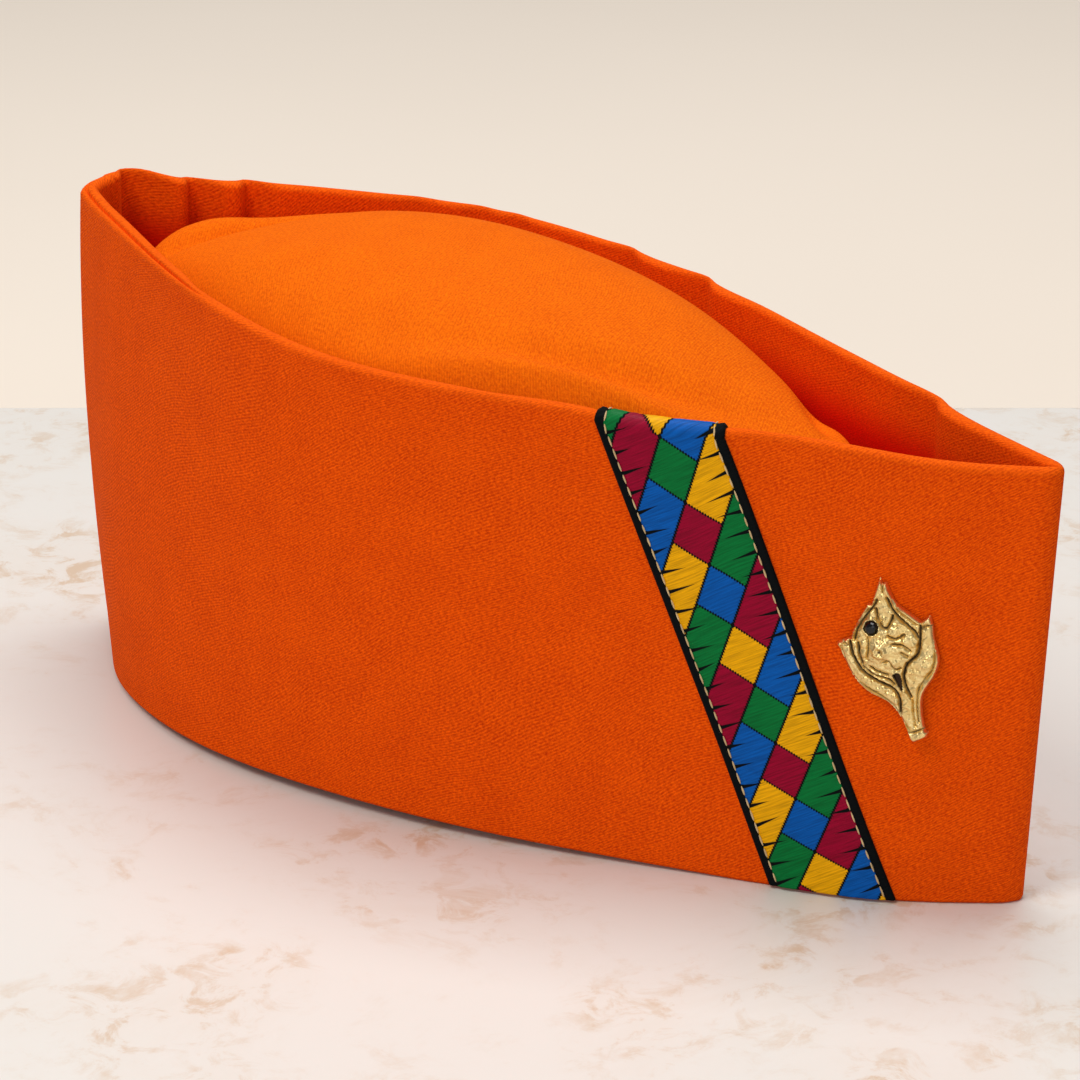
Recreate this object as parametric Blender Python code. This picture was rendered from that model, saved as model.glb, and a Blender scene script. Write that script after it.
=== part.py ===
"""A pahadi cap: a stiffened cloth band folded to a point at the front, a domed crown set
down inside it, a slanting woven ribbon and a flower-bud brooch.

Tables and sizes are in millimetres. +X points to the folded front, the side with the ribbon
faces -Y, +Z is up, and the hem rests on z = 0.
"""

import math

import bmesh
import bpy
import numpy as np
from mathutils import Matrix, Vector
from mathutils.geometry import delaunay_2d_cdt

MM = 0.001
GAP = 0.3  # air between neighbouring pieces

# The band's length at its top edge and at its hem, seen from above
TOP_BACK, TOP_FRONT = -127.5, 129.7
HEM_BACK, HEM_FRONT = -125.4, 125.0
BACK_HEIGHT, FRONT_HEIGHT = 108.7, 93.5
TOP_BACK_ROUND, HEM_BACK_ROUND = 4.0, 8.0
FRONT_FOLD_ROUND = 2.5

# The hem lies flat at the back end and under the front, and arches a little between them
HEM_ARCH = 2.2
ARCH_START, ARCH_END = 0.04, 0.80

BAND_THICKNESS = 3.0
HEM_ROUND = 0.6
FOLD_SLIT = 0.3  # half the slit between the two inner faces where the front fold shuts
FOLD_NOSE = 1.6  # cloth in front of the slit

LINING_THICKNESS = 1.8
LINING_LIFT = 1.0  # the inner band's foot above the hem
LINING_FOLD = 5.0  # cloth in front of its own hollow there
LINING_NOSE = 4.0  # from the slit's front end to the inner band's, at the hem

CROWN_BACK, CROWN_FRONT = -111.0, 88.0
CROWN_THICKNESS = 1.8
CROWN_CLEARANCE = 2.4
CROWN_BACK_ROUND, CROWN_FRONT_ROUND = 15.0, 26.0
CROWN_BACK_SLOPE, CROWN_FRONT_SLOPE = 12.0, 24.0
CROWN_SHOULDER = 2.6  # exponent of the cross-section: 2 is an ellipse, more is squarer

RIBBON_WIDTH = 24.4
RIBBON_THICKNESS = 1.0
RIBBON_FOOT = 39.7  # from the front fold to the ribbon's middle, along the hem
RIBBON_HEAD = 82.4  # and along the top edge
RIBBON_AIR = 0.4  # between it and the band
PRESS_DEPTH, PRESS_EASE = 1.9, 2.5  # how it presses the top edge down, and how that eases off

BADGE_FROM_FOLD = 33.5
BADGE_HEIGHT = 53.9
BADGE_BACK = 1.0
BADGE_EDGE = 0.35
BADGE_AIR = 0.55  # behind it, since it is flat and the wall is not
BADGE_SPACING, BADGE_STEP = 1.0, 1.3  # of the mesh's inner places and of those on its lines
POST_RADIUS, POST_LENGTH = 0.6, 6.4
POST_HOLE_RADIUS, POST_SIDES = 1.0, 8
CLUTCH_RADIUS, CLUTCH_DEPTH, CLUTCH_LIP = 3.5, 1.6, 2.0
CLUTCH_AIR = 0.75  # between it and the band, which curves away from its flat face
STONE_RADIUS, STONE_HEIGHT = 1.25, 1.1
STONE_SEAT = 0.3  # its seat above the casting's flat front
DROP_DEPTH = 0.3  # the drop-shaped hollow below it


def table(columns, rows):
    """One array for each named column of a short table."""
    return dict(zip(columns.split(), np.array(rows, float).T))


# Cross-sections of the band. along is 0 at the back and 1 at the front fold. The widths run
# from the middle line to each side's outer face, the dips lift or lower the top edge from a
# straight line between its ends, and belly is how far the wall swells at mid height.
SECTIONS = table(
    "along ribbon_top plain_top hem ribbon_dip plain_dip belly",
    [
        (0.00, 8.6, 8.6, 6.4, 0.9, 1.8, 2.3),
        (0.03, 13.2, 12.8, 12.7, 0.3, 0.0, 2.5),
        (0.08, 20.4, 20.6, 25.1, 0.4, 0.0, 2.3),
        (0.16, 30.9, 31.2, 38.8, 0.2, 0.6, 1.3),
        (0.28, 44.1, 45.1, 48.9, -0.1, 0.7, 0.3),
        (0.42, 50.2, 48.8, 50.8, -1.3, 0.4, 0.0),
        (0.56, 44.0, 43.2, 46.4, -1.2, 0.3, 0.0),
        (0.70, 29.9, 31.0, 36.5, -1.1, 0.4, 0.0),
        (0.82, 16.8, 19.8, 26.3, -1.2, 0.8, 0.0),
        (0.92, 9.7, 9.4, 16.4, -0.6, 1.1, 0.0),
        (1.00, 2.4, 2.4, 2.4, 1.6, 1.6, 0.0),
    ],
)

# Soft vertical puckers of the band's inner face. depth is positive for a hollow and negative
# for a swell, reach is how far down the face it fades.
PUCKERS = table(
    "side place width depth reach",
    [
        (1, -113, 5.0, -1.4, 30),
        (1, -106, 4.0, 1.3, 26),
        (1, -100, 3.5, 1.5, 22),
        (1, -93, 5.0, -1.2, 26),
        (1, -64, 5.0, 0.9, 16),
        (1, -50, 4.5, 1.0, 16),
        (1, -41, 4.0, 0.8, 16),
        (1, -9, 4.5, 1.3, 20),
        (1, -2, 5.0, -0.9, 20),
        (1, 10, 4.5, 1.4, 22),
        (1, 18, 6.0, -0.8, 22),
        (1, 88, 9.0, 1.2, 34),
        (1, 102, 7.0, -0.7, 26),
        (-1, -112, 38.0, -1.5, 9),
        (-1, -60, 6.0, 0.9, 20),
        (-1, 20, 6.0, 0.9, 20),
        (-1, 74, 7.0, 1.0, 24),
    ],
)

# The crown from end to end: its seam's height and its ridge's height.
CROWN = table(
    "place seam ridge",
    [
        (-111, 86, 98.0),
        (-100, 87, 101.0),
        (-85, 87, 104.8),
        (-65, 86, 109.4),
        (-40, 85, 112.0),
        (-15, 84, 111.0),
        (10, 82, 108.0),
        (35, 79, 101.5),
        (60, 75, 90.6),
        (74, 72, 85.6),
        (88, 70, 82.0),
    ],
)

# Soft folds of the crown cloth: a middle point, the half length and half width of the swell,
# its turn from the cap's length and its rise, which is negative for a dent.
CROWN_FOLDS = table(
    "place across length width turn rise",
    [
        (-95, 2, 11, 5, 62, 2.0),
        (-82, -6, 11, 5, 24, -1.4),
        (-16, -38, 24, 6, 8, -1.6),
        (34, -20, 22, 5, 25, 1.5),
        (33, -26, 20, 4, 25, -0.9),
        (57, 3, 9, 7, 60, 1.3),
        (66, 10, 9, 5, 60, -1.1),
    ],
)


def spline(places, values):
    """A natural cubic spline through one column of a table, as a function of the place."""
    gaps = np.diff(places)
    slopes = np.diff(values) / gaps
    count = len(places)
    system, right = np.eye(count), np.zeros(count)
    for i in range(1, count - 1):
        system[i, i - 1 : i + 2] = gaps[i - 1], 2 * (gaps[i - 1] + gaps[i]), gaps[i]
        right[i] = 6 * (slopes[i] - slopes[i - 1])
    bends = np.linalg.solve(system, right)

    def at(x):
        x = np.clip(np.asarray(x, float), places[0], places[-1])
        i = np.clip(np.searchsorted(places, x) - 1, 0, count - 2)
        after = (x - places[i]) / gaps[i]
        before = 1 - after
        curve = (before**3 - before) * bends[i] + (after**3 - after) * bends[i + 1]
        return before * values[i] + after * values[i + 1] + curve * gaps[i] ** 2 / 6

    return at


SECTION = {name: spline(SECTIONS["along"], column) for name, column in SECTIONS.items()}
SEAM = spline(CROWN["place"], CROWN["seam"])
RIDGE = spline(CROWN["place"], CROWN["ridge"])


def end_rounding(distance, radius):
    """1 away from an end, falling to 0 at the end along a quarter circle."""
    reach = np.clip(distance / radius, 0, 1)
    return np.sqrt(1 - (1 - reach) ** 2)


# Plans: the outline seen from above, as x and the width of each side of the middle line


def plan_of(back, front, back_round, ribbon_width, plain_width):
    fine_ends = (1 - np.cos(np.linspace(0, math.pi, 900))) / 2
    x = back + (front - back) * fine_ends
    ends = end_rounding(x - back, back_round) * end_rounding(front - x, FRONT_FOLD_ROUND)
    return {"x": x, -1: ribbon_width(fine_ends) * ends, 1: plain_width(fine_ends) * ends}


def inset(plan, depth, slit, nose):
    """The plan one thickness further in, with a slit left where the two sides would meet."""
    back, front = plan["x"][0] + depth, plan["x"][-1] - nose
    x = back + (front - back) * (1 - np.cos(np.linspace(0, math.pi, 900))) / 2
    inner = {"x": x}
    for side in (-1, 1):
        width = np.full(len(x), 1e3)
        for reach in np.linspace(-depth, depth, 41):
            cover = np.interp(x + reach, plan["x"], plan[side], left=0, right=0)
            width = np.minimum(width, cover - math.sqrt(depth**2 - reach**2))
        width = np.maximum(width, slit)
        width[0] = width[-1] = 0
        inner[side] = width
    return inner


def walk(plan, side, shares):
    """Plan points at shares of a side's length, from the front fold to the back."""
    x, y = plan["x"][::-1], side * plan[side][::-1]
    run = np.concatenate([[0], np.cumsum(np.hypot(np.diff(x), np.diff(y)))])
    at = np.asarray(shares, float) * run[-1]
    return np.stack([np.interp(at, run, x), np.interp(at, run, y)], axis=-1)


def side_length(plan, side):
    return np.hypot(np.diff(plan["x"]), np.diff(plan[side])).sum()


def graded_shares(length, first, growth, widest):
    """Shares of a side's length: close together at both ends and even between them."""
    steps = [first]
    while steps[-1] * growth < widest:
        steps.append(steps[-1] * growth)
    ends = np.concatenate([[0], np.cumsum(steps)])
    middle = length - 2 * ends[-1]
    count = round(middle / widest)
    between = ends[-1] + middle * np.arange(1, count) / count
    return np.concatenate([ends, between, length - ends[::-1]]) / length


TOP = plan_of(
    TOP_BACK, TOP_FRONT, TOP_BACK_ROUND, SECTION["ribbon_top"], SECTION["plain_top"]
)
HEM = plan_of(HEM_BACK, HEM_FRONT, HEM_BACK_ROUND, SECTION["hem"], SECTION["hem"])
INNER_TOP = inset(TOP, BAND_THICKNESS, FOLD_SLIT, FOLD_NOSE)
INNER_HEM = inset(HEM, BAND_THICKNESS, FOLD_SLIT, FOLD_NOSE)


def ribbon_press(x):
    """How far the ribbon presses the top edge down on its own side."""
    ends = [(RIBBON_HEAD + part * RIBBON_WIDTH / 2) / side_length(TOP, -1) for part in (1, -1)]
    back, front = walk(TOP, -1, ends)[:, 0]
    return PRESS_DEPTH / 2 * (np.tanh((x - back) / PRESS_EASE) - np.tanh((x - front) / PRESS_EASE))


def top_height(side, x):
    along = np.clip((x - TOP_BACK) / (TOP_FRONT - TOP_BACK), 0, 1)
    level = BACK_HEIGHT + (FRONT_HEIGHT - BACK_HEIGHT) * along
    if side < 0:
        return level + SECTION["ribbon_dip"](along) - ribbon_press(x)
    return level + SECTION["plain_dip"](along)


def hem_height(x):
    along = (x - HEM_BACK) / (HEM_FRONT - HEM_BACK)
    arch = np.clip((along - ARCH_START) / (ARCH_END - ARCH_START), 0, 1)
    return HEM_ARCH * np.sin(math.pi * arch)


def pucker_depth(side, x, down):
    depth = np.zeros(len(x))
    for where, place, width, deep, reach in zip(*PUCKERS.values()):
        if where == side:
            depth += deep * np.exp(-(((x - place) / width) ** 2) - (down / reach) ** 2)
    return depth


def band_points(side, shares, climb):
    """Points of the band's skin at shares of a side. climb is 0 to 1 up the outer face,
    1 to 2 over the rolled top edge and 2 to 3 down the inner face."""
    outer_top, outer_hem = walk(TOP, side, shares), walk(HEM, side, shares)
    inner_top, inner_hem = walk(INNER_TOP, side, shares), walk(INNER_HEM, side, shares)
    roll = BAND_THICKNESS / 2
    head = top_height(side, outer_top[:, 0]) - roll
    foot = hem_height(outer_hem[:, 0]) + HEM_ROUND
    across = outer_top - inner_top
    outward = across / np.linalg.norm(across, axis=1, keepdims=True)
    across = across - outward * pucker_depth(side, inner_top[:, 0], 0)[:, None]
    rise = climb if climb <= 1 else max(0.0, 3 - climb)
    rise = min(rise, 1.0)
    along = np.clip((outer_top[:, 0] - TOP_BACK) / (TOP_FRONT - TOP_BACK), 0, 1)
    swell = 4 * rise * (1 - rise) * SECTION["belly"](along)
    height = foot + (head - foot) * rise
    if climb <= 1:
        plan = outer_hem + (outer_top - outer_hem) * rise
    elif climb < 2:
        turn = (climb - 1) * math.pi
        plan = outer_top - across / 2 * (1 - math.cos(turn))
        height = height + roll * math.sin(turn)
    else:
        plan = inner_hem + (inner_top - inner_hem) * rise
        swell = swell + pucker_depth(side, inner_top[:, 0], (head - foot) * (1 - rise))
    return np.column_stack([plan + outward * swell[:, None], height])


def hem_underside(side, shares, inner):
    """The flat strip that the band stands on, inside its two rounded corners."""
    outer_hem, inner_hem = walk(HEM, side, shares), walk(INNER_HEM, side, shares)
    across = inner_hem - outer_hem
    share = HEM_ROUND / BAND_THICKNESS
    plan = outer_hem + across * (1 - share if inner else share)
    return np.column_stack([plan, hem_height(outer_hem[:, 0])])


def closed_ring(points_of_side, shares):
    """One loop round the cap: back along the ribbon side, then forward along the plain side."""
    there = points_of_side(-1, shares)
    back = points_of_side(1, shares)[::-1][1:-1]
    return np.concatenate([there, back])


# Meshes


def material(name, colour, roughness, metallic=0.0):
    made = bpy.data.materials.new(name)
    made.use_nodes = True
    shader = made.node_tree.nodes["Principled BSDF"]
    linear = [((c / 255 + 0.055) / 1.055) ** 2.4 for c in colour]
    shader.inputs["Base Color"].default_value = (*linear, 1)
    shader.inputs["Roughness"].default_value = roughness
    shader.inputs["Metallic"].default_value = metallic
    made.diffuse_color = (*linear, 1)
    return made


def finished(name, mesh_maker, made_material, smooth_angle=50):
    """An object from a bmesh in millimetres, with its doubles merged and its faces outward."""
    bmesh.ops.remove_doubles(mesh_maker, verts=mesh_maker.verts, dist=1e-4)
    bmesh.ops.recalc_face_normals(mesh_maker, faces=mesh_maker.faces)
    bmesh.ops.scale(mesh_maker, vec=(MM, MM, MM), verts=mesh_maker.verts)
    mesh = bpy.data.meshes.new(name)
    mesh_maker.to_mesh(mesh)
    mesh_maker.free()
    mesh.shade_smooth()
    mesh.set_sharp_from_angle(angle=math.radians(smooth_angle))
    mesh.materials.append(made_material)
    obj = bpy.data.objects.new(name, mesh)
    bpy.context.scene.collection.objects.link(obj)
    return obj


def ring_body(rings):
    """A closed body from loops of points, each joined to the next and the last to the first."""
    body = bmesh.new()
    loops = [[body.verts.new(point) for point in ring] for ring in rings]
    for ring, following in zip(loops, loops[1:] + loops[:1]):
        for i in range(len(ring)):
            j = (i + 1) % len(ring)
            body.faces.new((ring[i], ring[j], following[j], following[i]))
    return body


def sheet_body(front, back):
    """A closed body from two grids of points, its faces and the strips that join their edges."""
    rows, columns = front.shape[:2]
    body = bmesh.new()
    grids = [
        [[body.verts.new(point) for point in row] for row in grid]
        for grid in (front, back)
    ]
    for grid in grids:
        for i in range(rows - 1):
            for j in range(columns - 1):
                corners = grid[i][j], grid[i][j + 1], grid[i + 1][j + 1], grid[i + 1][j]
                body.faces.new(corners)
    top, under = grids
    for i in (0, rows - 1):
        for j in range(columns - 1):
            body.faces.new((top[i][j], top[i][j + 1], under[i][j + 1], under[i][j]))
    for j in (0, columns - 1):
        for i in range(rows - 1):
            body.faces.new((top[i][j], top[i + 1][j], under[i + 1][j], under[i][j]))
    return body


# Outer band

OUTER_ROWS = (0, 0.2, 0.5, 0.8, 1)
ROLL_ROWS = (1.25, 1.5, 1.75)
INNER_ROWS = (2, 2.08, 2.2, 2.45, 3)


def outer_band(cloth):
    shares = graded_shares(side_length(TOP, -1), first=0.9, growth=1.4, widest=4.8)
    rings = [
        closed_ring(lambda side, s: band_points(side, s, climb), shares)
        for climb in OUTER_ROWS + ROLL_ROWS + INNER_ROWS
    ]
    for inner in (True, False):
        rings.append(closed_ring(lambda side, s: hem_underside(side, s, inner), shares))
    return finished("outer_band", ring_body(rings), cloth)


# Crown and inner band


def crown_plan(shrink):
    """The crown seam seen from above, shrink further in than its outer face."""
    room = inset(TOP, BAND_THICKNESS + CROWN_CLEARANCE, FOLD_SLIT, FOLD_NOSE)
    back, front = CROWN_BACK + shrink, CROWN_FRONT - shrink
    x = back + (front - back) * (1 - np.cos(np.linspace(0, math.pi, 400))) / 2
    ends = end_rounding(x - back, CROWN_BACK_ROUND)
    ends = ends * end_rounding(front - x, CROWN_FRONT_ROUND)
    plan = {"x": x}
    for side in (-1, 1):
        plan[side] = (np.interp(x, room["x"], room[side]) - shrink) * ends
    return plan


def fold_rise(x, y):
    """How far the soft folds lift the crown cloth at a point of its plan."""
    rise = np.zeros(np.shape(x))
    for place, across, length, width, turn, height in zip(*CROWN_FOLDS.values()):
        c, s = math.cos(math.radians(turn)), math.sin(math.radians(turn))
        run = ((x - place) * c + (y - across) * s) / length
        off = ((y - across) * c - (x - place) * s) / width
        rise += height * np.exp(-(run**2) - off**2)
    return rise


def crown_grid(stations, across, shrink):
    plan = crown_plan(shrink)
    back, front = plan["x"][0], plan["x"][-1]
    x = back + (front - back) * (1 - np.cos(math.pi * stations)) / 2
    ends = end_rounding(x - back, CROWN_BACK_SLOPE) * end_rounding(front - x, CROWN_FRONT_SLOPE)
    ridge = (RIDGE(x) - shrink - SEAM(x)) * ends
    grid = np.zeros((len(x), len(across), 3))
    for j, reach in enumerate(across):
        side = -1 if reach < 0 else 1
        y = reach * np.interp(x, plan["x"], plan[side])
        arch = (1 - abs(reach) ** CROWN_SHOULDER) ** (1 / CROWN_SHOULDER)
        settle = arch * ends
        grid[:, j] = np.column_stack(
            [x, y, SEAM(x) + ridge * arch + fold_rise(x, y) * settle]
        )
    return grid


def crown_panel(cloth):
    stations = np.linspace(0, 1, 27)
    across = np.sin(np.linspace(-math.pi / 2, math.pi / 2, 17))
    outer = crown_grid(stations, across, 0.0)
    inner = crown_grid(stations, across, CROWN_THICKNESS)
    return finished("crown_panel", sheet_body(outer, inner), cloth)


def inner_band(cloth):
    """Leans in from the hem, just inside the outer band, to the seam under the crown."""
    foot_plans = [
        inset(INNER_HEM, GAP, FOLD_SLIT, LINING_NOSE),
        inset(INNER_HEM, GAP + LINING_THICKNESS, FOLD_SLIT, LINING_NOSE + LINING_FOLD),
    ]
    head_plans = [crown_plan(0.0), crown_plan(LINING_THICKNESS)]
    shares = graded_shares(side_length(foot_plans[0], -1), 1.2, 1.5, 6.4)

    def lining(face, rise):
        def points(side, s):
            foot, head = walk(foot_plans[face], side, s), walk(head_plans[face], side, s)
            low = hem_height(foot[:, 0]) + LINING_LIFT
            high = SEAM(head[:, 0]) - GAP
            plan = foot + (head - foot) * rise
            return np.column_stack([plan, low + (high - low) * rise])

        return closed_ring(points, shares)

    rings = [lining(0, rise) for rise in (0, 0.5, 1)]
    rings += [lining(1, rise) for rise in (1, 0.5, 0)]
    return finished("inner_band", ring_body(rings), cloth)


# Ribbon


def skin_with_normal(share, climb):
    """A point of the ribbon side's skin and the direction out of the cloth there."""
    step = 1e-3
    here, ahead = band_points(-1, [share, share + step], climb)
    if climb > 1.5:
        other = band_points(-1, [share], climb - step)[0]
        up = here - other
    else:
        up = band_points(-1, [share], climb + step)[0] - here
    normal = np.cross(up, ahead - here)
    return here, normal / np.linalg.norm(normal)


def ribbon(woven):
    length = side_length(TOP, -1)
    foot, head = RIBBON_FOOT / length, RIBBON_HEAD / length
    height = top_height(-1, walk(TOP, -1, [head])[0, 0])
    slant = math.atan2(RIBBON_HEAD - RIBBON_FOOT, height)
    half = RIBBON_WIDTH / 2 / math.cos(slant) / length
    climbs = OUTER_ROWS + ROLL_ROWS + INNER_ROWS[:3]
    grids = {"out": [], "in": []}
    for climb in climbs:
        middle = foot + (head - foot) * (climb if climb < 1 else 1 + max(0, climb - 2))
        rows = {"out": [], "in": []}
        for place in np.linspace(-1, 1, 6):
            point, normal = skin_with_normal(middle + place * half, climb)
            rows["in"].append(point + normal * RIBBON_AIR)
            rows["out"].append(point + normal * (RIBBON_AIR + RIBBON_THICKNESS))
        for face in grids:
            grids[face].append(rows[face])
    body = sheet_body(np.array(grids["out"]), np.array(grids["in"]))
    return finished("ribbon", body, woven)


# Brooch: a cast flower bud between two sepals on a stem, drawn flat as across (towards the
# cap's front) and up, from the middle of its rosette. A corner row is a sharp tip or notch.

BADGE_OUTLINE = table(
    "across up corner",
    [
        (-1.1, 15.6, 1),
        (-0.6, 14.3, 1),
        (0.2, 14.7, 1),
        (1.4, 12.4, 0),
        (2.6, 10.6, 0),
        (5.4, 9.0, 0),
        (7.9, 7.5, 1),
        (9.5, 9.1, 1),
        (10.1, 7.6, 0),
        (10.7, 4.4, 0),
        (12.0, 0.4, 0),
        (11.4, -3.2, 0),
        (9.4, -7.2, 0),
        (9.2, -10.4, 0),
        (10.1, -14.7, 0),
        (10.9, -15.3, 1),
        (10.6, -16.4, 1),
        (8.2, -17.9, 1),
        (7.3, -17.3, 0),
        (5.2, -13.2, 0),
        (2.4, -10.3, 0),
        (-2.1, -8.5, 0),
        (-5.5, -5.4, 0),
        (-8.1, -0.8, 0),
        (-9.0, 0.7, 1),
        (-8.2, 1.3, 0),
        (-6.2, 2.2, 1),
        (-5.6, 4.6, 0),
        (-3.3, 9.7, 1),
        (-2.5, 9.7, 1),
        (-2.0, 12.0, 0),
    ],
)

# Raised ribs of the casting: each a short run of places, then its half width and its rise
BADGE_RIBS = [
    # left sepal: its rim and the fold inside it
    ([(-8.6, 0.4), (-7.0, -2.9), (-5.3, -5.6), (-2.0, -8.0), (2.8, -10.4), (6.6, -15.6)], 0.8, 0.6),
    ([(-7.9, 0.3), (-6.1, -2.3), (-3.1, -4.3), (0.8, -6.3), (3.8, -7.8), (5.4, -12.2)], 0.7, 0.8),
    # right sepal: the same
    ([(9.4, 8.4), (10.6, 3.6), (11.4, 0), (10.6, -3.8), (8.8, -7.4), (9.2, -12.3), (9.9, -14.8)], 0.8, 0.6),
    ([(8.1, 6.6), (7.8, 1.6), (6.1, -1.4), (5.7, -4.4), (6.1, -7.7), (8.2, -13.4)], 0.7, 0.8),
    # three petals behind the rosette, then the one that stands free at its right
    ([(1.1, 11.6), (3.4, 8.8), (6.0, 6.6), (7.2, 3.4)], 0.7, 0.6),
    ([(-2.2, 10.2), (-3.8, 7.2), (-5.0, 4.6), (-5.2, 1.8)], 0.7, 0.6),
    ([(-1.1, 8.6), (-0.6, 6.4), (1.0, 5.0), (2.2, 7.2), (1.6, 9.6)], 0.6, 0.5),
    ([(3.0, 4.4), (4.1, 2.6), (5.4, 0.2), (4.4, -1.6)], 0.6, 0.4),
    # the collar that ends the stem
    ([(7.7, -17.2), (10.4, -15.8)], 0.7, 0.6),
]

# Rounded bosses of the casting
BADGE_BOSSES = table(
    "across up radius rise",
    [
        (0.6, 0.8, 8.0, 0.9),
        (0.2, 0.2, 3.4, 0.7),
        (0.0, 0.1, 1.5, 0.8),
        (3.2, -1.2, 1.6, 0.5),
        (-2.8, -1.0, 1.5, 0.5),
        (2.9, 2.6, 1.6, 0.5),
        (9.6, -1.4, 1.8, 0.4),
        (-0.2, 12.9, 1.4, 0.4),
    ],
)
STONE_PLACE = (-2.0, 5.2)
DROP_PLACE, DROP_HALF = (4.3, -6.1), (0.8, 2.0)


def smooth_run(points, corners, step, closed=False):
    """Points about a step apart on a curve through the given ones, sharp at the corners."""
    points = np.asarray(points, float)
    count = len(points)
    made = []
    for i in range(count if closed else count - 1):
        a, b = points[i], points[(i + 1) % count]
        before = points[(i - 1) % count] if closed or i else a
        after = points[(i + 2) % count] if closed or i < count - 2 else b
        leave = (b - a) if corners[i] else (b - before) / 2
        arrive = (b - a) if corners[(i + 1) % count] else (after - a) / 2
        steps = max(1, round(np.linalg.norm(b - a) / step))
        for t in np.arange(steps) / steps:
            h = (2 * t**3 - 3 * t**2 + 1, t**3 - 2 * t**2 + t, 3 * t**2 - 2 * t**3, t**3 - t**2)
            made.append(h[0] * a + h[1] * leave + h[2] * b + h[3] * arrive)
    if not closed:
        made.append(points[-1])
    return np.array(made)


def distance_to_run(places, run, closed=False):
    """The distance from each place to the nearest point of a run of straight pieces."""
    nearest = np.full(len(places), 1e3)
    ends = np.roll(run, -1, axis=0) if closed else run[1:]
    for a, b in zip(run, ends):
        along = b - a
        share = np.clip((places - a) @ along / (along @ along), 0, 1)
        gap = np.linalg.norm(places - a - share[:, None] * along, axis=1)
        nearest = np.minimum(nearest, gap)
    return nearest


def badge_relief(places, outline):
    """The height of the casting's front above its flat back."""
    edge = np.clip(distance_to_run(places, outline, closed=True) / BADGE_EDGE, 0, 1)
    height = np.zeros(len(places))
    for across, up, radius, rise in zip(*BADGE_BOSSES.values()):
        off = np.hypot(places[:, 0] - across, places[:, 1] - up) / radius
        height += rise * np.clip(1 - off**2, 0, 1)
    for points, width, rise in BADGE_RIBS:
        run = smooth_run(points, [0] * len(points), 1.5)
        height += rise * np.clip(1 - distance_to_run(places, run) / width, 0, 1)
    seat = np.hypot(*(places - STONE_PLACE).T)
    height = np.where(seat < STONE_RADIUS + 0.5, STONE_SEAT, height)
    drop = ((places - DROP_PLACE) / DROP_HALF) ** 2
    height = np.where(drop.sum(axis=1) < 1, -DROP_DEPTH, height)
    return BADGE_BACK * (0.6 + 0.4 * edge) + height * edge


def badge_frame():
    """Where the brooch sits on the band's outer face: across it, up it and out of it."""
    share = BADGE_FROM_FOLD / side_length(TOP, -1)
    climb = BADGE_HEIGHT / FRONT_HEIGHT
    step = 0.02
    here = band_points(-1, [share - step, share, share + step], climb)
    above = band_points(-1, [share], climb + step)[0]
    across = Vector(here[0] - here[2]).normalized()
    up = Vector(above - here[1])
    out = up.cross(-across).normalized()
    if out.y > 0:
        out.negate()
    up = out.cross(across).normalized()
    if up.z < 0:
        up.negate()
    frame = Matrix((across, up, out)).transposed().to_4x4()
    frame.translation = Vector(here[1]) + out * BADGE_AIR
    return frame


def badge_lattice(outline, ribs):
    """Places inside the outline, in even rows that keep clear of it and of the ribs."""
    low, high = outline.min(axis=0), outline.max(axis=0)
    rows = np.arange(low[1], high[1], BADGE_SPACING * math.sqrt(3) / 2)
    places = np.concatenate(
        [
            np.column_stack([columns, np.full(len(columns), up)])
            for columns, up in (
                (np.arange(low[0] + i % 2 * BADGE_SPACING / 2, high[0], BADGE_SPACING), up)
                for i, up in enumerate(rows)
            )
        ]
    )
    near = [distance_to_run(places, outline, closed=True)]
    near += [distance_to_run(places, rib) for rib in ribs]
    return places[np.min(near, axis=0) > BADGE_SPACING / 2]


def badge(gold):
    outline = smooth_run(
        np.column_stack([BADGE_OUTLINE["across"], BADGE_OUTLINE["up"]]),
        BADGE_OUTLINE["corner"],
        BADGE_STEP,
        closed=True,
    )
    ribs = [smooth_run(points, [0] * len(points), BADGE_STEP) for points, *_ in BADGE_RIBS]
    places = np.concatenate([outline, badge_lattice(outline, ribs)] + ribs)
    rim = [(i, (i + 1) % len(outline)) for i in range(len(outline))]
    inside = [list(range(len(outline)))]
    flat = delaunay_2d_cdt([Vector(p) for p in places], rim, inside, 1, 1e-4)
    places, faces = np.array([tuple(p) for p in flat[0]]), flat[2]
    body = bmesh.new()
    tops = badge_relief(places, outline)
    front = [body.verts.new((x, y, z)) for (x, y), z in zip(places, tops)]
    back = [body.verts.new((x, y, 0)) for x, y in places]
    for corners in faces:
        body.faces.new([front[i] for i in corners])
    under = [body.faces.new([back[i] for i in reversed(corners)]) for corners in faces]
    edges = {(a, b) for corners in faces for a, b in zip(corners, corners[1:] + corners[:1])}
    for a, b in sorted(edges):
        if (b, a) not in edges:
            body.faces.new((front[b], front[a], back[a], back[b]))
    bmesh.ops.dissolve_faces(body, faces=under)
    obj = finished("badge", body, gold, 30)
    obj.matrix_world = scaled_frame(badge_frame())
    join_post(obj, gold)
    return obj


def scaled_frame(frame):
    """A frame in millimetres as an object's place in metres."""
    placed = frame.copy()
    placed.translation = frame.translation * MM
    return placed


def turned(profile, sides):
    """A closed body turned from a profile of (radius, height) about the Z axis."""
    body = bmesh.new()
    rings = []
    for radius, height in profile:
        if radius == 0:
            rings.append([body.verts.new((0, 0, height))])
            continue
        angles = [2 * math.pi * i / sides for i in range(sides)]
        ring = [(radius * math.cos(a), radius * math.sin(a), height) for a in angles]
        rings.append([body.verts.new(p) for p in ring])
    for low, high in zip(rings, rings[1:]):
        for i in range(sides):
            j = (i + 1) % sides
            corners = low[i % len(low)], low[j % len(low)], high[j % len(high)], high[i % len(high)]
            body.faces.new(dict.fromkeys(corners))
    return body


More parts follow.
